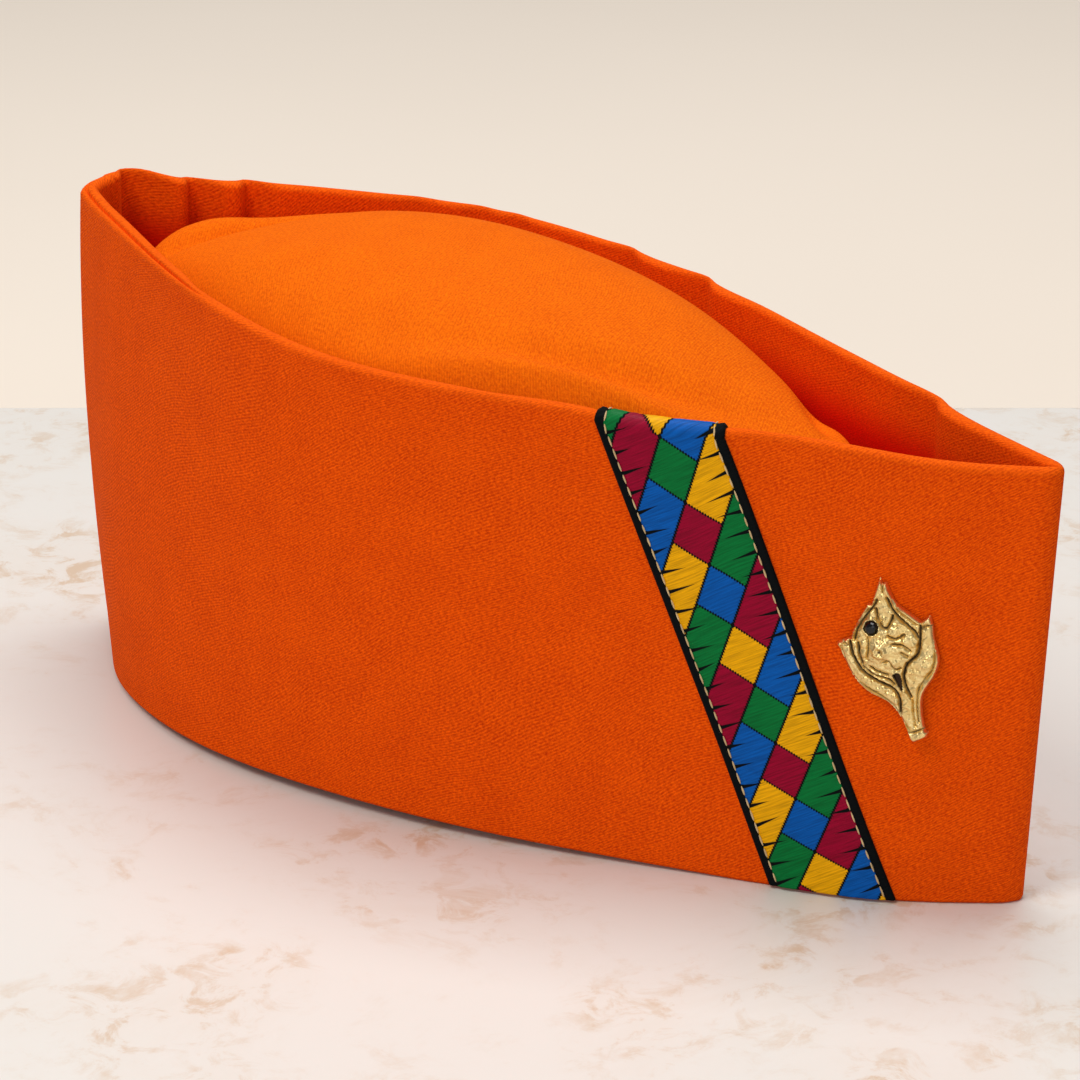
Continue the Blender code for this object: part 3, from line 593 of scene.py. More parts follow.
def wool_cloth(name, light, dark, spacing, twill_turn, nap, twill=0.4, inside=None):
    """Dyed wool suiting, woven in a twill: matt, with fine raised slanting rows, loose fibres,
    a short nap that catches light at grazing angles, and slow unevenness of the dye. Given an
    inside tint, it also paints shade down the inner face and a highlight along the rolled edge."""
    material, tree = new_material(name)
    cloth = add(tree, "ShaderNodeUVMap", {"uv_map": "cloth"})
    bent = cloth
    # slow bends of the weave, as in cloth steamed to shape, then small ones, as in crepe
    for scale, reach in ((0.022, 9.0), (0.16, 0.45)):
        bend = noise_node(tree, cloth, scale, 1.0, flat=True).node.outputs["Color"]
        off = add(tree, VECTOR, {"operation": "SUBTRACT"}, {0: bend, 1: (0.5, 0.5, 0.5)})
        off = add(tree, VECTOR, {"operation": "SCALE"}, {0: off, "Scale": reach})
        bent = add(tree, VECTOR, {"operation": "ADD"}, {0: bent, 1: off})
    turn = (0, 0, math.radians(twill_turn))
    turned = add(tree, MAPPING, {}, {"Vector": bent, "Rotation": turn})
    # rows of the twill, drawn a little coarser than they are, so that they show
    rows = add(
        tree,
        "ShaderNodeTexWave",
        {"wave_type": "BANDS", "bands_direction": "Y", "wave_profile": "SIN"},
        {
            "Vector": turned,
            "Scale": 0.314 / spacing,
            "Distortion": 1.1,
            "Detail": 3.0,
            "Detail Scale": 2.4,
        },
    )
    # threads broken along the rows, then single fibres, then clumps of the dye
    size = (0.7 / spacing, 1.3 / spacing, 1.0)
    threads = add(tree, MAPPING, {}, {"Vector": turned, "Scale": size})
    threads = noise_node(tree, threads, 1.0, 2.0, flat=True)
    fibres = noise_node(tree, cloth, 1.5, 4.0, 0.75, flat=True)
    clumps = noise_node(tree, cloth, 0.10, 4.0, 0.6, flat=True)
    weave = calc(tree, "MULTIPLY_ADD", rows, 0.30 * twill, -0.15 * twill)
    weave = calc(tree, "MULTIPLY_ADD", threads, twill, weave)
    weave = calc(tree, "MULTIPLY_ADD", fibres, 1 - twill, weave)
    if inside:
        # inside the wall the cloth is smoother, and painted shade makes it a deeper red down the
        # inner face
        up = add(tree, SPLIT, {}, {"Vector": cloth}).node.outputs["Y"]
        deep = map_range(tree, up, *PAINTED_SHADE_START, smooth=True)
        low = map_range(tree, up, *PAINTED_SHADE_END)
        deep = calc(tree, "MULTIPLY", deep, low)
        smooth = calc(tree, "MULTIPLY", deep, 0.6)
        weave = add(tree, MIX, {"data_type": "FLOAT"}, {"Factor": smooth, "A": weave, "B": 0.5})
    shade = map_range(tree, weave, 0.33, 0.69)
    tone = calc(tree, "MULTIPLY_ADD", clumps, 0.34, -0.17)
    shade = calc(tree, "ADD", shade, tone, clamp=True)
    dye = mix_colours(tree, shade, dark, light)
    if inside:
        # painted shade: the dye multiplied by the inside tint down the inner face
        shaded_dye = mix_colours(tree, 1.0, dye, inside, "MULTIPLY")
        dye = mix_colours(tree, deep, dye, shaded_dye)
        # painted highlight: a pale band along the rolled edge, where the roll catches the light
        off = calc(tree, "SUBTRACT", up, ROLLED_EDGE)
        off = calc(tree, "ABSOLUTE", off)
        edge_highlight = map_range(tree, off, 3.2, 0.4, 0.0, 0.13, smooth=True)
        dye = mix_colours(tree, edge_highlight, dye, "#ff8c20")
    bump = add(tree, BUMP, {}, {"Height": weave, "Strength": 0.6, "Distance": 0.00034})
    finish_material(
        tree,
        {
            "Base Color": dye,
            "Roughness": 0.88,
            "IOR": 1.45,
            "Specular IOR Level": 0.06,
            "Sheen Weight": nap,
            "Sheen Roughness": 0.4,
            "Sheen Tint": colour("#ff7a18"),
            "Normal": bump,
        },
    )
    return material


def woven_ribbon():
    """A jacquard ribbon of rayon satin with black cotton edges: glossy floats laid across the
    tape in four colours, black binding lines between the tiles, and slits where floats end."""
    material, tree = new_material("rayon_jacquard_ribbon")
    tiles = add(tree, "ShaderNodeUVMap", {"uv_map": "tiles"})
    tape = add(tree, "ShaderNodeUVMap", {"uv_map": "cloth"})
    tape = add(tree, SPLIT, {}, {"Vector": tape}).node
    along, across = tape.outputs["X"], tape.outputs["Y"]
    # the stepped edge that one float's width, 0.4 mm, gives every slanting line
    steps = calc(tree, "MULTIPLY", across, 2.5)
    steps = calc(tree, "FRACT", steps)
    steps = calc(tree, "MULTIPLY_ADD", steps, 0.036, -0.018)
    split = add(tree, SPLIT, {}, {"Vector": tiles}).node
    steep = calc(tree, "ADD", split.outputs["X"], steps)
    cross = calc(tree, "SUBTRACT", split.outputs["Y"], steps)
    row = calc(tree, "FLOOR", steep)
    column = calc(tree, "FLOOR", cross)
    middle = calc(tree, "COMPARE", row, column, 0.5)
    quarter = calc(tree, "MULTIPLY_ADD", row, 0.25, 0.125)
    quarter = calc(tree, "FRACT", quarter)
    blue, crimson, green, yellow = "#0054a8", "#90002a", "#006e32", "#e8a600"
    orders = {"outer": (blue, crimson, green, yellow), "middle": (green, yellow, blue, crimson)}
    dyes = {}
    for place, order in orders.items():
        ramp = add(tree, "ShaderNodeValToRGB", {}, {"Fac": quarter}).node
        ramp.color_ramp.interpolation = "CONSTANT"
        stops = ramp.color_ramp.elements
        while len(stops) < 4:
            stops.new(0.5)
        for i, code in enumerate(order):
            stops[i].position = i / 4
            stops[i].color = colour(code)
        dyes[place] = ramp.outputs["Color"]
    tile = mix_colours(tree, middle, dyes["outer"], dyes["middle"])
    # floats of the satin, 0.35 mm wide and up to 8 mm long, a little aslant across the tape
    slant = calc(tree, "MULTIPLY_ADD", across, -0.07, along)
    place = add(tree, "ShaderNodeCombineXYZ", {}, {"X": slant, "Y": across})
    floats = add(tree, MAPPING, {}, {"Vector": place, "Scale": (2.9, 0.12, 1.0)})
    floats = noise_node(tree, floats, 1.0, 2.0, 0.6, flat=True)
    bright = map_range(tree, floats, 0.3, 0.7, 0.72, 1.14)
    satin = add(tree, VECTOR, {"operation": "SCALE"}, {0: tile, "Scale": bright})
    # black binding lines: 0.34 mm on the steep lines and 0.2 mm on the others
    masks = []
    for count, width in ((steep, 0.020), (cross, 0.013)):
        off = calc(tree, "PINGPONG", count, 0.5)
        masks.append(map_range(tree, off, width, width * 1.9, 1.0, 0.0))
    # a cross line stops at the steep lines beside its diamond
    nearest = calc(tree, "ROUND", cross)
    beside = calc(tree, "SUBTRACT", nearest, row)
    beside = calc(tree, "COMPARE", beside, 0.5, 0.6)
    masks[1] = calc(tree, "MULTIPLY", masks[1], beside)
    # slits, 4.3 mm apart, that run in from the stitches
    side = calc(tree, "ABSOLUTE", across)
    inward = calc(tree, "SUBTRACT", STITCH_ROW, side)
    right = calc(tree, "GREATER_THAN", across, 0.0)
    spot = calc(tree, "MULTIPLY_ADD", along, 1 / 4.35, 0.3)
    spot = calc(tree, "MULTIPLY_ADD", right, 0.45, spot)
    cell = calc(tree, "FLOOR", spot)
    cell = calc(tree, "MULTIPLY_ADD", right, 37.0, cell)
    dice = add(tree, "ShaderNodeTexWhiteNoise", {"noise_dimensions": "1D"}, {"W": cell}).node
    dice = add(tree, "ShaderNodeSeparateColor", {}, {"Color": dice.outputs["Color"]}).node
    lean = calc(tree, "MULTIPLY_ADD", dice.outputs["Red"], 0.05, -0.025)
    lean = calc(tree, "MULTIPLY", lean, inward)
    off = calc(tree, "FRACT", spot)
    off = calc(tree, "ADD", off, lean)
    off = calc(tree, "SUBTRACT", off, 0.5)
    off = calc(tree, "ABSOLUTE", off)
    length = calc(tree, "MULTIPLY_ADD", dice.outputs["Green"], 3.0, 3.6)
    half = calc(tree, "DIVIDE", inward, length)
    half = calc(tree, "MULTIPLY_ADD", half, -0.1, 0.1)
    slit = calc(tree, "SUBTRACT", half, off)
    slit = map_range(tree, slit, -0.012, 0.014)
    edge = map_range(tree, inward, 0.02, -0.12)
    dark = masks[0]
    for mask in (masks[1], slit, edge):
        dark = calc(tree, "MAXIMUM", dark, mask)
    # the edges' plain weave shows as fine ribs across them
    ribs = calc(tree, "MULTIPLY", along, 2 * math.pi / 0.9)
    ribs = calc(tree, "SINE", ribs)
    ribs = calc(tree, "MULTIPLY", ribs, edge)
    dye = mix_colours(tree, dark, satin, "#04080a")
    relief = calc(tree, "MULTIPLY_ADD", dark, -1.2, floats)
    relief = calc(tree, "MULTIPLY_ADD", ribs, 0.3, relief)
    rough = calc(tree, "MULTIPLY_ADD", dark, 0.3, 0.46)
    bump = add(tree, BUMP, {}, {"Height": relief, "Strength": 0.6, "Distance": 0.00016})
    finish_material(
        tree,
        {
            "Base Color": dye,
            "Roughness": rough,
            "IOR": 1.47,
            "Specular IOR Level": 0.1,
            "Normal": bump,
        },
    )
    return material


def stitch_thread():
    """Spun polyester sewing thread, cream: a soft gloss and the twist of its plies."""
    material, tree = new_material("polyester_thread")
    place = object_place(tree)
    grain = noise_node(tree, place, 620.0, 2.0)
    slow = noise_node(tree, place, 60.0, 1.0)
    shade = calc(tree, "MULTIPLY_ADD", grain, 0.8, 0.05, clamp=True)
    shade = calc(tree, "MULTIPLY_ADD", slow, 0.3, shade, clamp=True)
    dye = mix_colours(tree, shade, "#8a6434", "#e6c890")
    bump = add(tree, BUMP, {}, {"Height": grain, "Strength": 0.5, "Distance": 0.00008})
    finish_material(
        tree, {"Base Color": dye, "Roughness": 0.55, "Sheen Weight": 0.2, "Normal": bump}
    )
    return material


def antique_gold():
    """Cast brass, gold plated and antiqued: bright worn rims, a stippled matt ground and
    brown patina left in the hollows."""
    material, tree = new_material("gilt_cast_brass")
    place = object_place(tree)
    hollow = add(tree, "ShaderNodeAttribute", {"attribute_name": "hollow"}).node.outputs["Fac"]
    stipple = noise_node(tree, place, 1500.0, 2.0, 0.6)
    wear = noise_node(tree, place, 420.0, 3.0)
    dirt = calc(tree, "MULTIPLY_ADD", wear, 0.5, -0.25)
    dirt = calc(tree, "ADD", dirt, hollow)
    dirt = map_range(tree, dirt, 0.28, 1.0, smooth=True)
    gold = mix_colours(tree, wear, "#dcb468", "#fbe4a8")
    patina = mix_colours(tree, dirt, gold, "#3c240a")
    metal = calc(tree, "MULTIPLY_ADD", dirt, -0.6, 1.0)
    rough = calc(tree, "MULTIPLY_ADD", dirt, 0.30, 0.27)
    rough = calc(tree, "MULTIPLY_ADD", stipple, 0.16, rough)
    bump = add(tree, BUMP, {}, {"Height": stipple, "Strength": 0.4, "Distance": 0.0001})
    finish_material(
        tree, {"Base Color": patina, "Metallic": metal, "Roughness": rough, "Normal": bump}
    )
    return material


def black_glass():
    """A cut black glass stone: near-black with a clear, hard gloss."""
    material, tree = new_material("black_cut_glass")
    place = object_place(tree)
    haze = noise_node(tree, place, 900.0, 2.0)
    rough = map_range(tree, haze, 0.0, 1.0, 0.05, 0.14)
    inputs = {"Base Color": colour("#030304"), "IOR": 1.54, "Specular IOR Level": 0.35}
    finish_material(tree, {"Roughness": rough, **inputs})
    return material


def plated_steel():
    """Pressed steel with a dull nickel plate, for the clutch behind the brooch."""
    material, tree = new_material("nickel_plated_steel")
    place = object_place(tree)
    wear = noise_node(tree, place, 700.0, 3.0)
    rough = map_range(tree, wear, 0.0, 1.0, 0.28, 0.5)
    finish_material(tree, {"Base Color": colour("#cfc6b0"), "Metallic": 1.0, "Roughness": rough})
    return material


def pale_marble():
    """A honed pale marble top: near white, with faint warm veins and a soft reflection."""
    material, tree = new_material("honed_marble")
    place = object_place(tree)
    cloud = noise_node(tree, place, 15.0, 8.0, 0.7, distortion=0.5)
    fine = noise_node(tree, place, 95.0, 6.0, 0.7, distortion=0.6)
    blot = map_range(tree, cloud, 0.42, 0.68, smooth=True)
    speck = map_range(tree, fine, 0.48, 0.62, smooth=True)
    both = calc(tree, "MULTIPLY", blot, speck)
    both = calc(tree, "MULTIPLY_ADD", blot, 0.16, both, clamp=True)
    dye = mix_colours(tree, both, "#e2ded8", "#d2bba3")
    rough = map_range(tree, cloud, 0.0, 1.0, 0.26, 0.42)
    finish_material(tree, {"Base Color": dye, "Roughness": rough, "Specular IOR Level": 0.4})
    return material


def beige_plaster():
    """Matt beige ground beyond the table, with slow cloudy variation."""
    material, tree = new_material("beige_plaster")
    place = object_place(tree)
    cloud = noise_node(tree, place, 2.2, 4.0)
    dye = mix_colours(tree, cloud, "#e2d6c8", "#ece0d2")
    finish_material(tree, {"Base Color": dye, "Roughness": 0.9})
    return material


# Outer band


def outer_band(cloth):
    """Rings up the outer face, over the rolled top edge, down the inner face and under the hem."""
    shares = graded_shares(RIBBON_SIDE_LENGTH, first=0.35, growth=1.25, widest=1.3)
    outer = np.concatenate([[0, 0.004, 0.012], np.linspace(0.025, 0.985, 56), [0.995]])
    roll = 1 + np.linspace(0, 1, 29)[:-1]
    inner = np.concatenate([2 + np.linspace(0, 0.4, 24), np.linspace(2.42, 3, 20)])
    rings, up = [], [0.0]
    for climb in np.concatenate([outer, roll, inner]):
        rings.append(closed_ring(lambda side, s: band_points(side, s, climb), shares))
    for inside in (True, False):
        rings.append(closed_ring(lambda side, s: hem_underside(side, s, inside), shares))
    middle = len(shares) // 2
    for ring, after in zip(rings, rings[1:] + rings[:1]):
        up.append(up[-1] + np.linalg.norm(after[middle] - ring[middle]))
    around = places_round(shares, RIBBON_SIDE_LENGTH)
    return ring_object("band_of_wool_twill", rings, np.array(up), around, cloth)


# Crown and inner band


def crown_plan(shrink):
    room = inset(TOP, BAND_THICKNESS + CROWN_CLEARANCE, FOLD_SLIT, FOLD_NOSE)
    back, front = CROWN_BACK + shrink, CROWN_FRONT - shrink
    x = back + (front - back) * (1 - np.cos(np.linspace(0, math.pi, 400))) / 2
    ends = end_rounding(x - back, CROWN_BACK_ROUND)
    ends = ends * end_rounding(front - x, CROWN_FRONT_ROUND)
    plan = {"x": x}
    for side in (-1, 1):
        plan[side] = (np.interp(x, room["x"], room[side]) - shrink) * ends
    return plan


def fold_rise(x, y):
    rise = np.zeros(np.shape(x))
    for place, across, length, width, turn, height in zip(*CROWN_FOLDS.values()):
        c, s = math.cos(math.radians(turn)), math.sin(math.radians(turn))
        run = ((x - place) * c + (y - across) * s) / length
        off = ((y - across) * c - (x - place) * s) / width
        rise += height * np.exp(-(run**2) - off**2)
    return rise


def crown_grid(stations, across, shrink):
    plan = crown_plan(shrink)
    back, front = plan["x"][0], plan["x"][-1]
    x = back + (front - back) * (1 - np.cos(math.pi * stations)) / 2
    ends = end_rounding(x - back, CROWN_BACK_SLOPE) * end_rounding(front - x, CROWN_FRONT_SLOPE)
    ridge = (RIDGE(x) - shrink - SEAM(x)) * ends
    grid = np.zeros((len(x), len(across), 3))
    for j, reach in enumerate(across):
        side = -1 if reach < 0 else 1
        y = reach * np.interp(x, plan["x"], plan[side])
        arch = (1 - abs(reach) ** CROWN_SHOULDER) ** (1 / CROWN_SHOULDER)
        settle = arch * ends
        grid[:, j] = np.column_stack([x, y, SEAM(x) + ridge * arch + fold_rise(x, y) * settle])
    return grid


def crown_panel(cloth):
    stations = np.linspace(0, 1, 191)
    across = np.sin(np.linspace(-math.pi / 2, math.pi / 2, 111))
    outer = crown_grid(stations, across, 0.0)
    inner = crown_grid(stations, across, CROWN_THICKNESS)
    # places on the flat cloth: along it, and across it over the dome from the ridge
    run = np.cumsum(np.linalg.norm(np.diff(outer, axis=1), axis=2), axis=1)
    run = np.pad(run, ((0, 0), (1, 0)))
    run -= run[:, len(across) // 2, None]
    flat = np.stack([outer[..., 0], run], axis=-1)
    return sheet_object("crown_of_napped_cloth", outer, inner, flat, cloth)


def inner_band(cloth):
    """Leans in from the hem, just inside the outer band, to the seam under the crown."""
    foot_plans = [
        inset(INNER_HEM, GAP, FOLD_SLIT, LINING_NOSE),
        inset(INNER_HEM, GAP + LINING_THICKNESS, FOLD_SLIT, LINING_NOSE + LINING_FOLD),
    ]
    head_plans = [crown_plan(0.0), crown_plan(LINING_THICKNESS)]
    length = side_length(foot_plans[0], -1)
    shares = graded_shares(length, 0.6, 1.3, 1.8)

    def lining(face, rise):
        def points(side, s):
            foot, head = walk(foot_plans[face], side, s), walk(head_plans[face], side, s)
            low = hem_height(foot[:, 0]) + LINING_LIFT
            high = SEAM(head[:, 0]) - GAP
            plan = foot + (head - foot) * rise
            return np.column_stack([plan, low + (high - low) * rise])

        return closed_ring(points, shares)

    rises = np.linspace(0, 1, 26)
    rings = [lining(0, rise) for rise in rises] + [lining(1, rise) for rise in rises[::-1]]
    up = np.concatenate([rises, 2 - rises[::-1], [2.02]]) * 82
    around = places_round(shares, length)
    return ring_object("inner_band_of_plain_cloth", rings, up, around, cloth)


# Ribbon

# Of the woven face: how far its tiles puff up and over what distance, the groove that the
# stitches pull, the rise of the edges past them and the drop of their rims
TILE_PUFF, PUFF_EASE, STITCH_GROOVE, SELVAGE_RISE, RIM_DROP = 0.16, 0.9, 0.14, 0.10, 0.55


def skin_with_normals(shares, climb):
    """Points of the ribbon side's skin and the directions out of the cloth there."""
    step = 1e-3
    here = band_points(-1, shares, climb, fine=False)
    ahead = band_points(-1, shares + step, climb, fine=False)
    nearby = climb - step if climb > 1.5 else climb + step
    other = band_points(-1, shares, nearby, fine=False)
    up = here - other if climb > 1.5 else other - here
    normal = np.cross(up, ahead - here)
    return here, normal / np.linalg.norm(normal, axis=1, keepdims=True)


def tile_counts(along, across):
    """The counts of steep and of cross lines passed up the tape."""
    root = np.maximum(TILE_FIRST**2 - 4 * TILE_SHRINK * (TILE_START - along), 1)
    passed = (TILE_FIRST - np.sqrt(root)) / (2 * TILE_SHRINK)
    slant = TILE_SLANT * across / TILE
    return -passed - slant, -passed + slant


def ribbon_frame():
    """The places of the ribbon's foot and head as shares of the side, its slant, its half width
    along the side as a share of it, and the top edge's height at its head."""
    foot, head = RIBBON_FOOT / RIBBON_SIDE_LENGTH, RIBBON_HEAD / RIBBON_SIDE_LENGTH
    height = top_height(-1, walk(TOP, -1, [head])[:, 0])[0]
    slant = math.atan2(RIBBON_HEAD - RIBBON_FOOT, height)
    half = RIBBON_WIDTH / 2 / math.cos(slant) / RIBBON_SIDE_LENGTH
    return foot, head, slant, half, height


def ribbon_point(climb, places, rise):
    """Points across the ribbon at one climb, rise above its own flat middle."""
    foot, head, _, half, _ = ribbon_frame()
    middle = foot + (head - foot) * (climb if climb < 1 else 1 + max(0, climb - 2))
    points, normals = skin_with_normals(middle - places * half, climb)
    lift = RIBBON_AIR + RIBBON_THICKNESS + rise
    return points + normals * np.reshape(lift, (-1, 1)), points + normals * RIBBON_AIR


def tape_path(climb):
    """The length along the tape's middle at one climb."""
    _, _, slant, _, height = ribbon_frame()
    run = (height - RIBBON_LIFT) * min(climb, 1) / math.cos(slant)
    if climb > 1:
        run += BAND_THICKNESS / 2 * math.pi * min(climb - 1, 1)
    if climb > 2:
        run += height * (climb - 2)
    return run


def ribbon(woven):
    climbs = np.concatenate([np.linspace(0, 1, 330), 1 + np.linspace(0, 1, 29)[1:-1]])
    climbs = np.concatenate([climbs, np.linspace(2, 2.2, 16)])
    places = np.linspace(-1, 1, 101)
    _, _, slant, _, _ = ribbon_frame()
    across = places * RIBBON_WIDTH / 2
    front, back, flat, tiles = [], [], [], []
    for climb in climbs:
        along = tape_path(climb) - across * math.tan(slant)
        steep, cross = tile_counts(along, across)
        off = np.minimum(np.abs(steep - np.round(steep)), np.abs(cross - np.round(cross)))
        puff = 1 - np.exp(-((off * TILE * TILE_SPAN / PUFF_EASE) ** 1.2))
        aside = np.abs(across)
        woven_part = 1 - ease(aside, STITCH_ROW - 0.9, STITCH_ROW)
        rise = TILE_PUFF * puff * woven_part - STITCH_GROOVE * (1 - woven_part)
        rise += SELVAGE_RISE * ease(aside, STITCH_ROW + 0.3, STITCH_ROW + 1.0)
        rise -= RIM_DROP * ease(aside, RIBBON_WIDTH / 2 - 0.5, RIBBON_WIDTH / 2)
        upper, under = ribbon_point(climb, places, rise)
        front.append(upper)
        back.append(under)
        flat.append(np.column_stack([along, across]))
        tiles.append(np.column_stack([steep, cross]))
    front, back, flat, tiles = map(np.array, (front, back, flat, tiles))
    obj = sheet_object("harlequin_ribbon", front, back, flat, woven)
    mesh = obj.data
    corner_places = np.zeros(len(mesh.loops), np.int32)
    mesh.loops.foreach_get("vertex_index", corner_places)
    by_vertex = np.concatenate([tiles.reshape(-1, 2)] * 2)
    layer = mesh.uv_layers.new(name="tiles")
    layer.uv.foreach_set("vector", by_vertex[corner_places].astype(np.float32).ravel())
    return obj


def stitch_tree(material):
    """Stitches along a path: a short rounded thread every pitch, each a little uneven. The
    sizes are the tree's inputs, and its random scales come from its seed."""
    tree = bpy.data.node_groups.new("row_of_stitches", "GeometryNodeTree")
    sockets = tree.interface
    sockets.new_socket("Path", in_out="INPUT", socket_type="NodeSocketGeometry")
    for name, value in (("Pitch", 3.2 * MM), ("Stitch length", 2.5 * MM), ("Thread", 0.5 * MM)):
        made = sockets.new_socket(name, in_out="INPUT", socket_type="NodeSocketFloat")
        made.default_value = value
    sockets.new_socket("Seed", in_out="INPUT", socket_type="NodeSocketInt").default_value = 4
    sockets.new_socket("Stitches", in_out="OUTPUT", socket_type="NodeSocketGeometry")
    given = tree.nodes.new("NodeGroupInput")
    spaced = add(
        tree,
        "GeometryNodeResampleCurve",
        {"mode": "LENGTH"},
        {"Curve": given.outputs["Path"], "Length": given.outputs["Pitch"]},
    )
    half = add(tree, MATH, {"operation": "MULTIPLY"}, {0: given.outputs["Stitch length"], 1: 0.5})
    wide = add(tree, MATH, {"operation": "MULTIPLY"}, {0: given.outputs["Thread"], 1: 0.5})
    size = add(tree, "ShaderNodeCombineXYZ", {}, {"X": wide, "Y": wide, "Z": half})
    bead = add(tree, "GeometryNodeMeshUVSphere", {}, {"Segments": 8, "Rings": 8, "Radius": 1.0})
    bead = add(tree, "GeometryNodeTransform", {}, {"Geometry": bead, "Scale": size})
    heading = add(tree, "GeometryNodeInputTangent")
    turn = add(tree, "FunctionNodeAlignRotationToVector", {"axis": "Z"}, {"Vector": heading})
    uneven = add(
        tree,
        "FunctionNodeRandomValue",
        {"data_type": "FLOAT_VECTOR"},
        {"Min": (0.9, 0.9, 0.86), "Max": (1.1, 1.1, 1.1), "Seed": given.outputs["Seed"]},
    )
    copies = add(
        tree,
        "GeometryNodeInstanceOnPoints",
        {},
        {"Points": spaced, "Instance": bead, "Rotation": turn, "Scale": uneven},
    )
    real = add(tree, "GeometryNodeRealizeInstances", {}, {"Geometry": copies})
    smooth = add(tree, "GeometryNodeSetShadeSmooth", {}, {0: real})
    dyed = add(tree, "GeometryNodeSetMaterial", {}, {"Geometry": smooth, "Material": material})
    tree.links.new(dyed, tree.nodes.new("NodeGroupOutput").inputs["Stitches"])
    return tree


def ribbon_stitches(material):
    """The two rows that hold the ribbon down, each half sunk in its groove."""
    data = bpy.data.curves.new("stitch_paths", "CURVE")
    data.dimensions = "3D"
    climbs = np.concatenate([np.linspace(0.02, 1, 160), 1 + np.linspace(0, 1, 12)[1:-1]])
    for side in (-1, 1):
        place = np.array([side * STITCH_ROW / (RIBBON_WIDTH / 2)])
        path = np.array([ribbon_point(climb, place, np.array([0.02]))[0][0] for climb in climbs])
        spline_data = data.splines.new("POLY")
        spline_data.points.add(len(path) - 1)
        flat = np.column_stack([path * MM, np.ones(len(path))])
        spline_data.points.foreach_set("co", flat.ravel())
    paths = new_object("stitch_paths", data)
    modifier = paths.modifiers.new("stitches", "NODES")
    tree = stitch_tree(material)
    modifier.node_group = tree
    sizes = {"Pitch": 2.75 * MM, "Stitch length": 2.3 * MM, "Thread": 0.4 * MM, "Seed": 7}
    for item in tree.interface.items_tree:
        if item.in_out == "INPUT" and item.name in sizes:
            modifier[item.identifier] = sizes[item.name]
    graph = bpy.context.evaluated_depsgraph_get()
    mesh = bpy.data.meshes.new_from_object(paths.evaluated_get(graph), depsgraph=graph)
    mesh.name = "ribbon_stitches"
    bpy.data.objects.remove(paths, do_unlink=True)
    return new_object("ribbon_stitches", mesh)


# Brooch

BADGE_OUTLINE = table(
    "across up corner",
    [
        (-1.1, 15.6, 1),
        (-0.6, 14.3, 1),
        (0.2, 14.7, 1),
        (1.4, 12.4, 0),
        (2.6, 10.6, 0),
        (5.4, 9.0, 0),
        (7.9, 7.5, 1),
        (9.5, 9.1, 1),
        (10.1, 7.6, 0),
        (10.7, 4.4, 0),
        (12.0, 0.4, 0),
        (11.4, -3.2, 0),
        (9.4, -7.2, 0),
        (9.2, -10.4, 0),
        (10.1, -14.7, 0),
        (10.9, -15.3, 1),
        (10.6, -16.4, 1),
        (8.2, -17.9, 1),
        (7.3, -17.3, 0),
        (5.2, -13.2, 0),
        (2.4, -10.3, 0),
        (-2.1, -8.5, 0),
        (-5.5, -5.4, 0),
        (-8.1, -0.8, 0),
        (-9.0, 0.7, 1),
        (-8.2, 1.3, 0),
        (-6.2, 2.2, 1),
        (-5.6, 4.6, 0),
        (-3.3, 9.7, 1),
        (-2.5, 9.7, 1),
        (-2.0, 12.0, 0),
    ],
)

